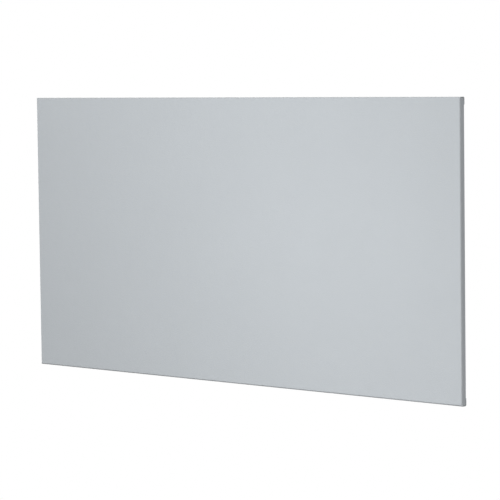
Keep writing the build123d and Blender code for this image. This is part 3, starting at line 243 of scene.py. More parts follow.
MOULDING_DULLING = 0.5
MOULDING_RUBBING = (1.08, 0.92)  # roughness of the dark and of the pale patches

GLAZE_MOTTLE = 240.0
GLAZE_PINHOLES = 2600.0
GLAZE_PINHOLE_SHADE = 0.6
GLAZE_ROUGHNESS = (0.16, 0.30)
GLAZE_COAT = 0.4
GLAZE_DEPTH = 0.03 * MM

FILM_WRINKLES = (14.0, 14.0, 40.0)
FILM_ROUGHNESS = (0.16, 0.30)
FILM_DEPTH = 0.4 * MM

BOARD_FIBRES = (300.0, 900.0, 1100.0)
BOARD_SHOT_SCALE = 700.0
BOARD_ROUGHNESS = 0.95
BOARD_DEPTH = 0.3 * MM

SLEEVE_CHALK = 500.0
SLEEVE_CHALK_SHADE = (0.88, 1.10)
SLEEVE_ROUGHNESS = (0.44, 0.58)
SLEEVE_STRIPES = 55.0
SLEEVE_GRAIN = 1500.0
SLEEVE_DEPTH = 0.03 * MM

INK_WEAR = 1800.0
INK_FADED = 0.70  # shade of the ink where it is most worn
INK_ROUGHNESS = (0.60, 0.45)
INK_DEPTH = 0.01 * MM

FRACTURE_GRAIN = 3800.0
FRACTURE_SHADE = (0.6, 1.2)
FRACTURE_ROUGHNESS = (0.40, 0.65)
FRACTURE_DEPTH = 0.06 * MM


# ------------------------------------------------------------- building nodes
def fill(tree, socket, value):
    """Sets a socket to a value, or links it to another node's output."""
    if isinstance(value, bpy.types.NodeSocket):
        tree.links.new(value, socket)
    else:
        socket.default_value = value


def put(tree, kind, sockets=None, **options):
    """Adds a node with its options, and fills the sockets that are named."""
    made = tree.nodes.new(kind)
    for option, value in options.items():
        setattr(made, option, value)
    for name, value in (sockets or {}).items():
        fill(tree, made.inputs[name], value)
    return made


def maths(tree, operation, *terms, clamp=False):
    """Result of one arithmetic node."""
    made = put(tree, "ShaderNodeMath", operation=operation, use_clamp=clamp)
    for socket, term in zip(made.inputs, terms):
        fill(tree, socket, term)
    return made.outputs[0]


def vector_maths(tree, operation, *terms):
    """Result of one arithmetic node on vectors."""
    made = put(tree, "ShaderNodeVectorMath", operation=operation)
    for socket, term in zip(made.inputs, terms):
        fill(tree, socket, term)
    return made.outputs["Vector"]


def scaled(tree, vector, factor):
    """Colour or vector times a factor."""
    made = put(tree, "ShaderNodeVectorMath", operation="SCALE")
    fill(tree, made.inputs[0], vector if isinstance(vector, bpy.types.NodeSocket) else vector[:3])
    fill(tree, made.inputs["Scale"], factor)
    return made.outputs["Vector"]


def ramp(tree, value, low, high, to_low=0.0, to_high=1.0):
    """Value carried smoothly from one range to another, and held at its ends."""
    names = {
        "Value": value, "From Min": low, "From Max": high, "To Min": to_low, "To Max": to_high,
    }
    made = put(tree, "ShaderNodeMapRange", names, interpolation_type="SMOOTHSTEP")
    return made.outputs["Result"]


def from_noise(tree, value, least=0.0, most=1.0):
    """Usual span of a noise carried smoothly to a range of its own."""
    return ramp(tree, value, NOISE_LOW, NOISE_HIGH, least, most)


def noise(tree, place, scale, detail=2.0, roughness=0.5):
    """Soft noise between 0 and 1, its grains about 1/scale metres wide."""
    names = {"Vector": place, "Scale": scale, "Detail": detail, "Roughness": roughness}
    return put(tree, "ShaderNodeTexNoise", names).outputs["Fac"]


def stretched(tree, place, along):
    """Place scaled along each axis, so that a pattern is drawn out."""
    return put(tree, "ShaderNodeMapping", {"Vector": place, "Scale": along}).outputs["Vector"]


def blended(tree, share, first, second):
    """Colour between two colours."""
    made = put(tree, "ShaderNodeMix", data_type="RGBA")
    fill(tree, made.inputs[0], share)
    fill(tree, made.inputs[6], first)
    fill(tree, made.inputs[7], second)
    return made.outputs[2]


def new_group(name, inputs, outputs):
    """Shader group with named sockets; gives the tree, its inputs and outputs."""
    group = bpy.data.node_groups.new(name, "ShaderNodeTree")
    for label, kind in inputs:
        group.interface.new_socket(label, in_out="INPUT", socket_type="NodeSocket" + kind)
    for label, kind in outputs:
        group.interface.new_socket(label, in_out="OUTPUT", socket_type="NodeSocket" + kind)
    given = group.nodes.new("NodeGroupInput").outputs
    result = group.nodes.new("NodeGroupOutput").inputs
    return group, given, result


def use(tree, group, sockets):
    """Places a shared group in a material and gives its outputs."""
    return put(tree, "ShaderNodeGroup", sockets, node_tree=group).outputs


# ------------------------------------------------------------- shared effects
def make_orange_peel():
    """Surface of sprayed powder: soft ripples, fine grain and a faint mottle.

    Height is three parts of ripples to one of grain. Shade is
    1 + Mottle * (mix of clouds and specks - 0.5).
    """
    tree, given, result = new_group(
        "orange_peel",
        [("Place", "Vector"), ("Ripple", "Float"), ("Mottle", "Float")],
        [("Height", "Float"), ("Shade", "Float")],
    )
    place, ripple = given["Place"], given["Ripple"]
    ripples = noise(tree, place, ripple, roughness=0.45)
    grain = noise(tree, place, maths(tree, "MULTIPLY", ripple, PEEL_FINENESS), detail=1.0)
    broad = maths(tree, "MULTIPLY", ripples, PEEL_RIPPLES)
    fill(tree, result["Height"], maths(tree, "MULTIPLY_ADD", grain, PEEL_GRAIN, broad))
    clouds = noise(tree, place, CLOUD_SCALE, detail=3.0, roughness=0.55)
    speckled = maths(tree, "MULTIPLY", ripple, SPECK_FINENESS)
    specks = noise(tree, place, speckled, roughness=0.6)
    soft = maths(tree, "MULTIPLY", clouds, PEEL_CLOUDS)
    both = maths(tree, "ADD", soft, maths(tree, "MULTIPLY", specks, PEEL_SPECKS))
    swing = maths(tree, "SUBTRACT", both, NOISE_MEAN)
    swing = maths(tree, "MULTIPLY", swing, given["Mottle"])
    fill(tree, result["Shade"], maths(tree, "ADD", swing, 1.0))
    return tree


def make_zinc_spangle():
    """Crystals of hot-dip zinc: cells of two sizes, each with its shade and gloss.

    The cells are found at Place plus a little noise, which feathers their rims.
    Shade is 1 + Contrast * (mix of the cells' tones - 0.5) + a cloudy bloom.
    """
    tree, given, result = new_group(
        "zinc_spangle",
        [("Place", "Vector"), ("Crystals", "Float"), ("Contrast", "Float")],
        [("Shade", "Float"), ("Gloss", "Float"), ("Height", "Float")],
    )
    place, crystals = given["Place"], given["Crystals"]
    warp = put(tree, "ShaderNodeTexNoise", {"Vector": place, "Scale": FEATHER_SCALE, "Detail": 3.0})
    drift = scaled(tree, warp.outputs["Color"], FEATHER_DEPTH)
    moved = vector_maths(tree, "ADD", place, drift)
    coarse = put(tree, "ShaderNodeTexVoronoi", {"Vector": moved, "Scale": crystals})
    finer = maths(tree, "MULTIPLY", crystals, CRYSTAL_FINENESS)
    fine = put(tree, "ShaderNodeTexVoronoi", {"Vector": moved, "Scale": finer})
    large = put(tree, "ShaderNodeSeparateColor", {"Color": coarse.outputs["Color"]})
    small = put(tree, "ShaderNodeSeparateColor", {"Color": fine.outputs["Color"]})
    first = maths(tree, "MULTIPLY", large.outputs["Red"], CRYSTAL_LARGE)
    tone = maths(tree, "MULTIPLY_ADD", small.outputs["Red"], CRYSTAL_SMALL, first)
    swing = maths(tree, "SUBTRACT", tone, NOISE_MEAN)
    swing = maths(tree, "MULTIPLY", swing, given["Contrast"])
    bloom = maths(tree, "SUBTRACT", noise(tree, place, BLOOM_SCALE, detail=3.0), NOISE_MEAN)
    bloom = maths(tree, "MULTIPLY", bloom, BLOOM_SWING)
    fill(tree, result["Shade"], maths(tree, "ADD", maths(tree, "ADD", swing, bloom), 1.0))
    fill(tree, result["Gloss"], ramp(tree, large.outputs["Green"], 0.0, 1.0, *CRYSTAL_GLOSS))
    fill(tree, result["Height"], fine.outputs["Distance"])
    return tree


def make_outline_band():
    """Mask of the edges of a box: near 1 where two of its faces meet.

    Along each axis the share is (|Place - Middle| - Half + Reach) / Reach, held
    between 0 and 1; the mask is the second largest of the three shares.
    """
    tree, given, result = new_group(
        "outline_band",
        [("Place", "Vector"), ("Middle", "Vector"), ("Half", "Vector"), ("Reach", "Float")],
        [("Mask", "Float")],
    )
    away = vector_maths(tree, "SUBTRACT", given["Place"], given["Middle"])
    size = vector_maths(tree, "ABSOLUTE", away)
    over = vector_maths(tree, "SUBTRACT", size, given["Half"])
    parts = put(tree, "ShaderNodeSeparateXYZ", {"Vector": over})
    shares = []
    for axis in "XYZ":
        inside = maths(tree, "ADD", parts.outputs[axis], given["Reach"])
        shares.append(maths(tree, "DIVIDE", inside, given["Reach"], clamp=True))
    pairs = [(0, 1), (1, 2), (0, 2)]
    corners = [maths(tree, "MINIMUM", shares[a], shares[b]) for a, b in pairs]
    largest = maths(tree, "MAXIMUM", maths(tree, "MAXIMUM", corners[0], corners[1]), corners[2])
    fill(tree, result["Mask"], largest)
    return tree


def make_scuffs():
    """Fine drawn-out scratches: noise stretched along Grain, cut at a high level."""
    tree, given, result = new_group(
        "scuffs",
        [("Place", "Vector"), ("Grain", "Vector"), ("Level", "Float")],
        [("Mask", "Float"), ("Streaks", "Float")],
    )
    drawn = vector_maths(tree, "MULTIPLY", given["Place"], given["Grain"])
    lines = noise(tree, drawn, 1.0, detail=3.0, roughness=0.65)
    patches = ramp(tree, noise(tree, given["Place"], PATCH_SCALE), low=0.42, high=0.66)
    cut = ramp(tree, lines, given["Level"], maths(tree, "ADD", given["Level"], SCUFF_EDGE))
    fill(tree, result["Mask"], maths(tree, "MULTIPLY", cut, patches))
    fill(tree, result["Streaks"], lines)
    return tree


def make_moulded_grain():
    """Fine spark-eroded grain of moulded plastic and rubber, and its worn shade."""
    tree, given, result = new_group(
        "moulded_grain",
        [("Place", "Vector"), ("Grain", "Float")],
        [("Height", "Float"), ("Shade", "Float")],
    )
    place, grain = given["Place"], given["Grain"]
    pits = put(
        tree, "ShaderNodeTexVoronoi", {"Vector": place, "Scale": grain}, feature="SMOOTH_F1"
    )
    fine = noise(tree, place, maths(tree, "MULTIPLY", grain, PIT_FINENESS), roughness=0.6)
    height = maths(tree, "MULTIPLY_ADD", fine, PIT_GRAIN, pits.outputs["Distance"])
    fill(tree, result["Height"], height)
    worn = noise(tree, place, WORN_SCALE, detail=3.0, roughness=0.6)
    fill(tree, result["Shade"], ramp(tree, worn, 0.30, 0.72, *WORN_SHADE))
    return tree


def make_settled_dust():
    """Thin dust: thicker on faces that look up, broken up by a clumpy noise."""
    tree, given, result = new_group(
        "settled_dust",
        [("Place", "Vector"), ("Facing Up", "Float"), ("Amount", "Float")],
        [("Mask", "Float")],
    )
    clumps = noise(tree, given["Place"], CLUMP_SCALE, detail=4.0, roughness=0.7)
    clumps = ramp(tree, clumps, low=0.35, high=0.75)
    lying = ramp(tree, given["Facing Up"], *DUST_FACING, *DUST_LYING)
    thick = maths(tree, "MULTIPLY", maths(tree, "MULTIPLY", clumps, lying), given["Amount"])
    fill(tree, result["Mask"], thick)
    return tree


orange_peel = make_orange_peel()
zinc_spangle = make_zinc_spangle()
outline_band = make_outline_band()
scuffs = make_scuffs()
moulded_grain = make_moulded_grain()
settled_dust = make_settled_dust()


# ------------------------------------------------------------------ materials
def new_material(name):
    """Material with a Principled shader; gives it, its tree, shader and place."""
    material = bpy.data.materials.new(name)
    material.use_nodes = True
    tree = material.node_tree
    shader = tree.nodes["Principled BSDF"]
    place = tree.nodes.new("ShaderNodeTexCoord").outputs["Object"]
    return material, tree, shader, place


def dust_on(tree, place, amount):
    """Share of a surface that dust hides, most where it looks up."""
    normal = put(tree, "ShaderNodeNewGeometry").outputs["Normal"]
    up = put(tree, "ShaderNodeSeparateXYZ", {"Vector": normal}).outputs["Z"]
    sockets = {"Place": place, "Facing Up": up, "Amount": amount}
    return use(tree, settled_dust, sockets)["Mask"]


def bumped(tree, shader, height, depth, strength=1.0, under=None):
    """Feeds a height of the given depth in metres to the shader's normal."""
    names = {"Height": height, "Distance": depth, "Strength": strength}
    if under is not None:
        names["Normal"] = under
    normal = put(tree, "ShaderNodeBump", names).outputs["Normal"]
    fill(tree, shader.inputs["Normal"], normal)
    return normal


def powder_coat():
    """Satin light grey powder coat with orange peel, on slightly uneven sheet, with painted shade along its bends.
    """
    material, tree, shader, place = new_material("powder_coat")
    shader.inputs["Specular IOR Level"].default_value = COAT_SPECULAR
    low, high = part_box("front_panel")
    peel = use(tree, orange_peel, {"Place": place, "Ripple": COAT_RIPPLE, "Mottle": COAT_MOTTLE})
    rim = use(tree, outline_band, {
        "Place": place, "Middle": (low + high) / 2, "Half": (high - low) / 2, "Reach": COAT_BEND,
    })
    wiped = use(tree, scuffs, {"Place": place, "Grain": COAT_WIPING, "Level": COAT_WIPED})
    # painted shade: the coat is darkened along the bends, standing in for the darker reflection there
    bend_shade_share = maths(tree, "MULTIPLY", rim["Mask"], COAT_BEND_SHADING)
    colour = scaled(tree, blended(tree, bend_shade_share, COAT_GREY, COAT_BEND_SHADE), peel["Shade"])
    dust = dust_on(tree, place, COAT_DUSTING)
    fill(tree, shader.inputs["Base Color"], blended(tree, dust, colour, COAT_DUST))
    fill(tree, shader.inputs["Roughness"], from_noise(tree, wiped["Streaks"], *COAT_ROUGHNESS))
    uneven = noise(tree, place, COAT_SHEET_WAVES, detail=1.0)
    waves = bumped(tree, shader, uneven, COAT_SHEET_DEPTH, strength=0.5)
    bumped(tree, shader, peel["Height"], COAT_PEEL_DEPTH, under=waves)
    return material


def zinc_sheet(name, crystals, grain, tone):
    """Galvanised sheet: spangle, rolling streaks along the grain, and scuffs."""
    material, tree, shader, place = new_material(name)
    spangle = use(tree, zinc_spangle, {
        "Place": place, "Crystals": crystals, "Contrast": ZINC_CONTRAST,
    })
    worn = use(tree, scuffs, {"Place": place, "Grain": grain, "Level": ZINC_SCUFFED})
    streak = ramp(tree, worn["Streaks"], 0.25, 0.75, *ZINC_STREAKS)
    shade = maths(tree, "MULTIPLY", spangle["Shade"], streak)
    bright = blended(tree, worn["Mask"], scaled(tree, tone, shade), SCUFFED_ZINC)
    dust = dust_on(tree, place, ZINC_DUSTING)
    fill(tree, shader.inputs["Base Color"], blended(tree, dust, bright, ZINC_DUST))
    fill(tree, shader.inputs["Metallic"], ramp(tree, dust, 0.0, 0.35, *ZINC_METAL))
    dulled = maths(tree, "MULTIPLY_ADD", dust, ZINC_DULLING, spangle["Gloss"])
    fill(tree, shader.inputs["Roughness"], dulled)
    bumped(tree, shader, spangle["Height"], ZINC_DEPTH, strength=0.35)
    return material


def zinc_plate():
    """Bright zinc plating of screws and nuts, faintly yellow and blue by turns."""
    material, tree, shader, place = new_material("zinc_plate")
    patches = noise(tree, place, PLATE_PATCHES)
    share = ramp(tree, patches, low=0.35, high=0.65)
    colour = blended(tree, share, PLATE_BLUE, PLATE_YELLOW)
    dirt = noise(tree, place, PLATE_GRIME, detail=3.0, roughness=0.65)
    grime = ramp(tree, dirt, low=0.32, high=0.60, to_low=PLATE_GRIMY)
    fill(tree, shader.inputs["Base Color"], scaled(tree, colour, grime))
    shader.inputs["Metallic"].default_value = 1.0
    fill(tree, shader.inputs["Roughness"], from_noise(tree, patches, *PLATE_ROUGHNESS))
    bumped(tree, shader, noise(tree, place, PLATE_GRAIN), PLATE_DEPTH, strength=0.3)
    return material


def bare_metal(name, tone, rough, grain, darkening=0.72):
    """Uncoated metal with fine drawn streaks and dull patches."""
    material, tree, shader, place = new_material(name)
    worn = use(tree, scuffs, {"Place": place, "Grain": grain, "Level": METAL_SCUFFED})
    patches = noise(tree, place, METAL_TARNISH, detail=3.0, roughness=0.6)
    tarnish = ramp(tree, patches, low=0.30, high=0.62, to_low=darkening)
    streak = from_noise(tree, worn["Streaks"], *METAL_STREAKS)
    colour = scaled(tree, tone, maths(tree, "MULTIPLY", tarnish, streak))
    fill(tree, shader.inputs["Base Color"], colour)
    shader.inputs["Metallic"].default_value = 1.0
    drawn = from_noise(tree, worn["Streaks"], rough, rough + METAL_ROUGHER)
    fill(tree, shader.inputs["Roughness"], drawn)
    bumped(tree, shader, worn["Streaks"], METAL_DEPTH, strength=0.25)
    return material


def moulding(name, tone, rough, grain, depth, dusty, coat=0.0):
    """Moulded plastic or rubber: eroded grain, worn patches and a little dust."""
    material, tree, shader, place = new_material(name)
    skin = use(tree, moulded_grain, {"Place": place, "Grain": grain})
    dust = dust_on(tree, place, dusty)
    colour = blended(tree, dust, scaled(tree, tone, skin["Shade"]), MOULDING_DUST)
    fill(tree, shader.inputs["Base Color"], colour)
    rougher = maths(tree, "MULTIPLY_ADD", dust, MOULDING_DULLING, rough)
    rubbed = ramp(tree, skin["Shade"], 0.8, 1.2, *MOULDING_RUBBING)
    fill(tree, shader.inputs["Roughness"], maths(tree, "MULTIPLY", rougher, rubbed))
    shader.inputs["Coat Weight"].default_value = coat
    bumped(tree, shader, skin["Height"], depth, strength=0.5)
    return material


def glazed_steatite():
    """Off-white glazed ceramic with pinholes and a slight cream mottle."""
    material, tree, shader, place = new_material("glazed_steatite")
    mottle = from_noise(tree, noise(tree, place, GLAZE_MOTTLE, detail=3.0))
    colour = blended(tree, mottle, GLAZE_WHITE, GLAZE_CREAM)
    holes = noise(tree, place, GLAZE_PINHOLES, detail=1.0)
    pinholes = ramp(tree, holes, low=0.24, high=0.30, to_low=GLAZE_PINHOLE_SHADE)
    fill(tree, shader.inputs["Base Color"], scaled(tree, colour, pinholes))
    fill(tree, shader.inputs["Roughness"], ramp(tree, mottle, 0.0, 1.0, *GLAZE_ROUGHNESS))
    shader.inputs["Coat Weight"].default_value = GLAZE_COAT
    bumped(tree, shader, pinholes, GLAZE_DEPTH, strength=0.4)
    return material


def amber_film():
    """Amber insulating film, faintly wrinkled, with a slip finish."""
    material, tree, shader, place = new_material("amber_film")
    drawn = stretched(tree, place, FILM_WRINKLES)
    wrinkles = noise(tree, drawn, 1.0, detail=3.0, roughness=0.6)
    colour = blended(tree, from_noise(tree, wrinkles), FILM_DEEP, FILM_PALE)
    fill(tree, shader.inputs["Base Color"], colour)
    fill(tree, shader.inputs["Roughness"], from_noise(tree, wrinkles, *FILM_ROUGHNESS))
    bumped(tree, shader, wrinkles, FILM_DEPTH, strength=0.4)
    return material


def mineral_board():
    """Pressed mineral fibre: cream, with short matted fibres and darker shot."""
    material, tree, shader, place = new_material("mineral_board")
    drawn = stretched(tree, place, BOARD_FIBRES)
    fibres = noise(tree, drawn, 1.0, detail=4.0, roughness=0.7)
    grains = noise(tree, place, BOARD_SHOT_SCALE, detail=1.0)
    shot = ramp(tree, grains, low=0.70, high=0.76)
    felt = blended(tree, from_noise(tree, fibres), BOARD_BUFF, BOARD_CREAM)
    fill(tree, shader.inputs["Base Color"], blended(tree, shot, felt, BOARD_SHOT))
    shader.inputs["Roughness"].default_value = BOARD_ROUGHNESS
    bumped(tree, shader, fibres, BOARD_DEPTH, strength=0.8)
    return material


def silicone_sleeve(name, tone, stripe=None):
    """Soft wire sleeve with a chalky bloom, and slanting stripes where it has them."""
    material, tree, shader, place = new_material(name)
    chalk = noise(tree, place, SLEEVE_CHALK, detail=3.0, roughness=0.6)
    chalk = from_noise(tree, chalk, *SLEEVE_CHALK_SHADE)
    colour = tone
    if stripe is not None:
        sockets = {"Vector": place, "Scale": SLEEVE_STRIPES}
        bands = put(tree, "ShaderNodeTexWave", sockets, bands_direction="DIAGONAL")
        striped = ramp(tree, bands.outputs["Fac"], low=0.46, high=0.54)
        colour = blended(tree, striped, tone, stripe)
    fill(tree, shader.inputs["Base Color"], scaled(tree, colour, chalk))
    rough = ramp(tree, chalk, *SLEEVE_CHALK_SHADE, *SLEEVE_ROUGHNESS)
    fill(tree, shader.inputs["Roughness"], rough)
    bumped(tree, shader, noise(tree, place, SLEEVE_GRAIN), SLEEVE_DEPTH, strength=0.4)
    return material


def printed_white():
    """White marking ink, a little worn."""
    material, tree, shader, place = new_material("printed_white")
    wear = noise(tree, place, INK_WEAR, detail=3.0, roughness=0.7)
    worn = ramp(tree, wear, low=0.25, high=0.50, to_low=INK_FADED)
    fill(tree, shader.inputs["Base Color"], scaled(tree, INK_WHITE, worn))
    fill(tree, shader.inputs["Roughness"], ramp(tree, worn, INK_FADED, 1.0, *INK_ROUGHNESS))
    bumped(tree, shader, worn, INK_DEPTH, strength=0.4)
    return material


def broken_steel():
    """Dark grey steel with a rough fracture."""
    material, tree, shader, place = new_material("broken_steel")
    grains = noise(tree, place, FRACTURE_GRAIN, detail=3.0, roughness=0.7)
    shade = from_noise(tree, grains, *FRACTURE_SHADE)
    fill(tree, shader.inputs["Base Color"], scaled(tree, MANDREL_GREY, shade))
    shader.inputs["Metallic"].default_value = 1.0
    fill(tree, shader.inputs["Roughness"], from_noise(tree, grains, *FRACTURE_ROUGHNESS))
    bumped(tree, shader, grains, FRACTURE_DEPTH, strength=0.7)
    return material


def shown_rays(tree):
    """1 on rays that show the surroundings: seen, mirrored or passed through."""
    path = put(tree, "ShaderNodeLightPath").outputs
    direct = maths(tree, "MAXIMUM", path["Is Camera Ray"], path["Is Glossy Ray"])
    return maths(tree, "MAXIMUM", direct, path["Is Transmission Ray"])


def pale_floor():
    """Pale matt floor whose rim passes into the white surroundings.

    Seen or mirrored it is lifted nearly to white, and it keeps the shadow.
    It gives little light back to the panel's underside. From below it can be
    seen through, so that the panel shows from there too.
    """
    material, tree, shader, place = new_material("pale_floor")
    fine = noise(tree, place, FLOOR_GRAIN, detail=3.0)
    seen = shown_rays(tree)
    tone = blended(tree, seen, FLOOR_BOUNCE, FLOOR_TONE)
    mottle = ramp(tree, fine, 0.2, 0.8, *FLOOR_MOTTLE)
    fill(tree, shader.inputs["Base Color"], scaled(tree, tone, mottle))
    shader.inputs["Roughness"].default_value = FLOOR_ROUGHNESS
    shader.inputs["Specular IOR Level"].default_value = FLOOR_SPECULAR
    glow = maths(tree, "MULTIPLY", seen, FLOOR_LIFT)
    lift = put(tree, "ShaderNodeEmission", {"Color": WHITE, "Strength": glow})
    lifted = put(tree, "ShaderNodeAddShader", {0: shader.outputs[0], 1: lift.outputs[0]})
    white = put(tree, "ShaderNodeEmission", {"Color": WHITE, "Strength": 1.0})
    flat = stretched(tree, place, (1.0, 1.0, 0.0))
    away = put(tree, "ShaderNodeVectorMath", {0: flat}, operation="LENGTH").outputs["Value"]
    share = maths(tree, "MULTIPLY", ramp(tree, away, FADE_START, FADE_END), seen)
    faded = put(tree, "ShaderNodeMixShader", {0: share, 1: lifted.outputs[0], 2: white.outputs[0]})
    back = put(tree, "ShaderNodeNewGeometry").outputs["Backfacing"]
    below = maths(tree, "MULTIPLY", back, seen)
    clear = put(tree, "ShaderNodeBsdfTransparent")
    shown = put(tree, "ShaderNodeMixShader", {0: below, 1: faded.outputs[0], 2: clear.outputs[0]})
    fill(tree, tree.nodes["Material Output"].inputs["Surface"], shown.outputs[0])
    return material


# ------------------------------------------------------------- making meshes
def mesh_object(name, points, faces, material, smooth=True, closed=True):
    """Object at the origin from arrays of points and faces, its doubles merged.

    A closed surface is turned to face outwards; a sheet keeps the side it has.
    """
    mesh = bpy.data.meshes.new(name)
    mesh.from_pydata(points.tolist(), [], faces.tolist())
    work = bmesh.new()
    work.from_mesh(mesh)
    bmesh.ops.remove_doubles(work, verts=work.verts, dist=WELD)
    if closed:
        bmesh.ops.recalc_face_normals(work, faces=work.faces)
    work.to_mesh(mesh)
    work.free()
    mesh.polygons.foreach_set("use_smooth", np.full(len(mesh.polygons), smooth))
    mesh.materials.append(material)
    made = bpy.data.objects.new(name, mesh)
    bpy.context.scene.collection.objects.link(made)
    return made


def grid_faces(rows, columns, closed_rows=False):
    """Quads of a grid of rows by columns of points.

    The columns close on themselves, and the rows do where that is asked for.
    """
    row = np.arange(rows if closed_rows else rows - 1)[:, None]
    column = np.arange(columns)[None, :]
    next_row = (row + 1) % rows
    next_column = (column + 1) % columns
    corners = [row * columns + column, row * columns + next_column]
    corners += [next_row * columns + next_column, next_row * columns + column]
    every = [np.broadcast_to(corner, (row.size, column.size)) for corner in corners]
    return np.stack(every, -1).reshape(-1, 4)


def copied_faces(faces, count, size):
    """Faces of several copies of a grid, whose points of the given size follow on."""
    return (faces[None] + np.arange(count)[:, None, None] * size).reshape(-1, 4)


def repeated(points, faces, places):
    """One grid of points and its faces, copied to each of several places."""
    shifted = (points[None] + places[:, None]).reshape(-1, 3)
    return shifted, copied_faces(faces, len(places), len(points))


def ring_angles(count):
    """Angles of a closed ring of points."""
    return np.arange(count) * 2 * pi / count


def rivet_mandrels():
    """Broken mandrel ends in the rail rivets.

    The share r runs out from the middle and the height over the recess is
    rise * (1 - fall r^2 + lobe r cos 3a), a fracture with three lobes. A flat
    foot closes it.
    """
    low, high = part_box("rail_rivets")
    rail_low, rail_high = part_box("hanger_rail_right")
    rail = ((rail_low + rail_high) / 2).x
    outer = high.x - RIVET_HEAD
    columns = np.array([outer, 2 * rail - outer, outer - 2 * rail, -outer])
    rows = np.linspace(low.z + RIVET_HEAD, high.z - RIVET_HEAD, RIVET_ROWS)
    x, z = np.meshgrid(columns, rows, indexing="ij")
    floor_y = high.y - MANDREL_SUNK
    places = np.stack([x.ravel(), np.full(x.size, floor_y), z.ravel()], -1)

    share = np.linspace(0.0, 1.0, MANDREL_RINGS)[:, None]
    angle = ring_angles(MANDREL_SIDES)[None, :]
    lobes = 1 - MANDREL_FALL * share**2 + MANDREL_LOBE * share * np.cos(MANDREL_LOBES * angle)
    top = np.stack([
        MANDREL_RADIUS * share * np.cos(angle),
        MANDREL_HEIGHT * lobes,
        MANDREL_RADIUS * share * np.sin(angle),
    ], -1)
    foot = top[::-1].copy()
    foot[..., 1] = 0.0
    stub = np.concatenate([top, foot]).reshape(-1, 3)
    points, faces = repeated(stub, grid_faces(2 * MANDREL_RINGS, MANDREL_SIDES), places)
    made = mesh_object("rivet_mandrels", points, faces, broken_steel())
    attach(made, "panel")


def buffer_seams():
    """Moulding seam round each rubber buffer: a torus of a flattened section.

    Its radius is R + t cos b and its depth t/2 sin b, for angles a round the
    buffer and b round the section.
    """
    low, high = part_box("wall_buffers")
    radius = (high.z - low.z) / 2
    around = ring_angles(FLASH_SIDES)[:, None]
    section = ring_angles(FLASH_SECTION)[None, :]
    reach = radius + FLASH_THICKNESS * np.cos(section)
    ring = np.stack([
        reach * np.cos(around),
        np.broadcast_to(FLASH_THICKNESS / 2 * np.sin(section), (FLASH_SIDES, FLASH_SECTION)),
        reach * np.sin(around),
    ], -1).reshape(-1, 3)
    y = high.y - FLASH_SETBACK
    z = (low.z + high.z) / 2
    places = np.array([[low.x + radius, y, z], [high.x - radius, y, z]])
    faces = grid_faces(FLASH_SIDES, FLASH_SECTION, closed_rows=True)
    points, faces = repeated(ring, faces, places)
    made = mesh_object("buffer_seams", points, faces, finishes["rubber"])
    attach(made, "panel")


def gland_grips():
    """Grip ribs on the flats of the gland's cap nut.

    A rib is a spindle: its radius falls as sqrt(1 - s^8) towards both ends, and
    it is turned to each of the six flats.
    """
    low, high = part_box("gland_nut")
    centre = (low + high) / 2
    flat = (high.y - low.y) / 2
    along = np.linspace(-1.0, 1.0, GRIP_STATIONS)[:, None]
    section = ring_angles(GRIP_SECTION)[None, :]
    thick = GRIP_RADIUS * np.sqrt(np.clip(1 - along**GRIP_TAPER, 0, 1))
    rib = np.stack([
        thick * np.cos(section),
        thick * np.sin(section) - flat,
        np.broadcast_to(along * GRIP_LENGTH / 2, (GRIP_STATIONS, GRIP_SECTION)),
    ], -1).reshape(-1, 3)
    offsets = (np.arange(GRIP_RIBS) - (GRIP_RIBS - 1) / 2) * GRIP_SPACING
    places = np.stack([offsets, 0 * offsets, 0 * offsets], -1)
    row, faces = repeated(rib, grid_faces(GRIP_STATIONS, GRIP_SECTION), places)
    turns = [np.array(Matrix.Rotation(angle, 3, "Z")) for angle in ring_angles(GRIP_FLATS)]
    points = np.concatenate([row @ turn.T for turn in turns])
    points = points + np.array([centre.x, centre.y, high.z - GRIP_DROP])
    faces = copied_faces(faces, GRIP_FLATS, len(row))
    made = mesh_object("gland_grips", points, faces, finishes["gland"])
    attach(made, "panel")


def on_rocker(along, across, raised):
    """Points on the rocker's hollow top, raised off it, at rest.

    The top is a hollow cylinder that faces down: its height off the pivot is
    H + D - sqrt(D^2 - u^2). A raised point moves towards the cylinder's axis,
    and all are then turned by the rocker's tilt.
    """
    reach = ROCKER_DISH - raised
    u = reach * along / ROCKER_DISH
    height = ROCKER_HEIGHT + ROCKER_DISH - np.sqrt(reach**2 - u**2)
    x = np.cos(ROCKER_TILT) * u + np.sin(ROCKER_TILT) * height
    z = np.sin(ROCKER_TILT) * u - np.cos(ROCKER_TILT) * height
    pivot = [joint for joint in frame["joints"] if joint["name"] == "switch_rock"][0]["pos_m"]
    return np.stack([pivot[0] + x, pivot[1] + across, pivot[2] + z], -1).reshape(-1, 3)


def rocker_marks():
    """Bar for on and ring for off, raised from the rocker's hollow top.

    The bar is a stadium filled from its middle, the ring a band between two
    circles; both are closed by a second layer sunk into the rocker.
    """
    angle = ring_angles(MARK_SIDES)[None, :]
    spread = np.array([0.0, 1.0, 1.0, 0.0])[:, None]
    raised = np.array([MARK_RAISE, MARK_RAISE, -MARK_SINK, -MARK_SINK])[:, None]
    raised = raised * np.ones_like(angle)
    half_straight = (BAR_LENGTH - BAR_WIDTH) / 2
    along = BAR_WIDTH / 2 * np.cos(angle) + half_straight * np.sign(np.cos(angle))
    bar = on_rocker(
        spread * along - MARK_OFFSET, spread * BAR_WIDTH / 2 * np.sin(angle), raised
    )
    radius = RING_RADIUS + RING_WIDTH / 2 * np.array([-1.0, 1.0, 1.0, -1.0])[:, None]
    ring = on_rocker(radius * np.cos(angle) + MARK_OFFSET, radius * np.sin(angle), raised)
    points = np.concatenate([bar, ring])
    faces = np.concatenate([
        grid_faces(4, MARK_SIDES),
        grid_faces(4, MARK_SIDES, closed_rows=True) + len(bar),
    ])
    made = mesh_object("rocker_marks", points, faces, printed_white(), smooth=False)
    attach(made, "rocker")


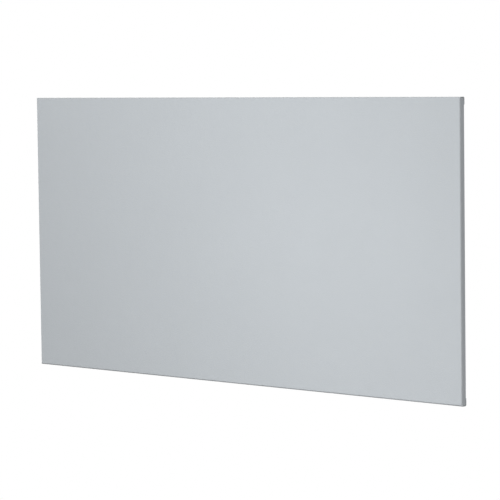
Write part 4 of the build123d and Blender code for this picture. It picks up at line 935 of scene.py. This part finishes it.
def floor():
    """Round pale floor: radius times (cos a, sin a) over rings and spokes.

    The radius runs inwards, so that the floor faces up.
    """
    radius = np.linspace(FLOOR_RADIUS, 0.0, FLOOR_RINGS)[:, None]
    angle = ring_angles(FLOOR_SPOKES)[None, :]
    low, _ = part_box("front_panel")
    height = np.full((FLOOR_RINGS, FLOOR_SPOKES), low.z - FLOOR_DROP)
    points = np.stack([radius * np.cos(angle), radius * np.sin(angle), height], -1).reshape(-1, 3)
    faces = grid_faces(FLOOR_RINGS, FLOOR_SPOKES)
    made = mesh_object("studio_floor", points, faces, pale_floor(), closed=False)


# ---------------------------------------------------------------- the studio
def soft_lamp(name, place, aim, size, power):
    """Square softbox that looks from its place at its aim."""
    light = bpy.data.lights.new(name, "AREA")
    light.size = size
    light.energy = power
    lamp = bpy.data.objects.new(name, light)
    lamp.location = place
    lamp.rotation_euler = (aim - place).to_track_quat("-Z", "Y").to_euler()
    bpy.context.scene.collection.objects.link(lamp)


def surroundings():
    """White where it is seen or mirrored, and plain soft light elsewhere."""
    world = bpy.data.worlds.new("surroundings")
    world.use_nodes = True
    bpy.context.scene.world = world
    tree = world.node_tree
    shown = shown_rays(tree)
    towards = tree.nodes.new("ShaderNodeTexCoord").outputs["Generated"]
    height = put(tree, "ShaderNodeSeparateXYZ", {"Vector": towards}).outputs["Z"]
    sky = maths(tree, "MULTIPLY_ADD", height, SKY_SLOPE, SKY_LEVEL)
    level = put(tree, "ShaderNodeMix", {0: shown, 2: sky, 3: 1.0}, data_type="FLOAT")
    fill(tree, tree.nodes["Background"].inputs["Color"], WHITE)
    fill(tree, tree.nodes["Background"].inputs["Strength"], level.outputs[0])


def viewpoint():
    """Camera at the photograph's place, turned by its yaw, pitch and roll."""
    data = bpy.data.cameras.new("viewpoint")
    data.lens = CAMERA_LENS
    data.sensor_width = SENSOR_WIDTH
    camera = bpy.data.objects.new("viewpoint", data)
    turn = Matrix.Rotation(CAMERA_YAW, 4, "Z")
    turn = turn @ Matrix.Rotation(pi / 2 + CAMERA_PITCH, 4, "X")
    turn = turn @ Matrix.Rotation(CAMERA_ROLL, 4, "Z")
    camera.matrix_world = Matrix.Translation(CAMERA_PLACE) @ turn
    bpy.context.scene.collection.objects.link(camera)
    bpy.context.scene.camera = camera


# --------------------------------------------------------------- the finishes
finishes = {
    "front_panel": powder_coat(),
    "rear_cover": zinc_sheet("galvanised_cover", crystals=105.0, grain=ALONG_X, tone=COVER_ZINC),
    "rails": zinc_sheet("galvanised_rail", crystals=150.0, grain=ALONG_Z, tone=RAIL_ZINC),
    "brackets": zinc_sheet("galvanised_bracket", crystals=190.0, grain=ALONG_Z, tone=BRACKET_ZINC),
    "fixings": zinc_plate(),
    "rivets": bare_metal("rivet_aluminium", RIVET_GREY, rough=0.30, grain=FINE),
    "rubber": moulding(
        "black_rubber", RUBBER_BLACK, rough=0.78, grain=1500.0, depth=0.05 * MM, dusty=0.35
    ),
    "box": moulding(
        "box_moulding", BOX_BLACK, rough=0.52, grain=1300.0, depth=0.05 * MM, dusty=0.25
    ),
    "gland": moulding(
        "gland_nylon", GLAND_BLACK, rough=0.44, grain=1800.0, depth=0.03 * MM, dusty=0.20
    ),
    "switch": moulding(
        "switch_moulding", SWITCH_BLACK, rough=0.24, grain=2600.0, depth=0.01 * MM, dusty=0.15,
        coat=0.3,
    ),
    "terminal_block": glazed_steatite(),
    "brass": bare_metal("tinned_brass", BRASS_YELLOW, rough=0.28, grain=FINE),
    "film": amber_film(),
    "element": bare_metal("etched_foil", ETCHED_GREY, rough=0.34, grain=ALONG_X),
    "reflector": bare_metal("bright_foil", FOIL_SILVER, rough=0.12, grain=ALONG_X, darkening=0.9),
    "board": mineral_board(),
    "cutout": bare_metal("cutout_can", CUTOUT_GREY, rough=0.26, grain=FINE),
    "lead_brown": silicone_sleeve("brown_sleeve", SLEEVE_BROWN),
    "lead_blue": silicone_sleeve("blue_sleeve", SLEEVE_BLUE),
    "lead_green": silicone_sleeve("earth_sleeve", SLEEVE_GREEN, stripe=SLEEVE_YELLOW),
}


def dress_nodes():
    """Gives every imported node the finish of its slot."""
    for row in frame["record"]["subparts"]:
        mesh = nodes[row["node"]].data
        mesh.materials.clear()
        mesh.materials.append(finishes[row["material_slot"]])


viewpoint()
surroundings()
soft_lamp("key_lamp", KEY_PLACE, KEY_AIM, KEY_SIZE, KEY_POWER)
soft_lamp("glow_lamp", GLOW_PLACE, GLOW_AIM, GLOW_SIZE, GLOW_POWER)
soft_lamp("side_lamp", SIDE_PLACE, SIDE_AIM, SIDE_SIZE, SIDE_POWER)
soft_lamp("rear_lamp", REAR_PLACE, REAR_AIM, REAR_SIZE, REAR_POWER)
floor()
dress_nodes()
rivet_mandrels()
buffer_seams()
gland_grips()
rocker_marks()

bpy.context.scene.view_settings.view_transform = "Standard"
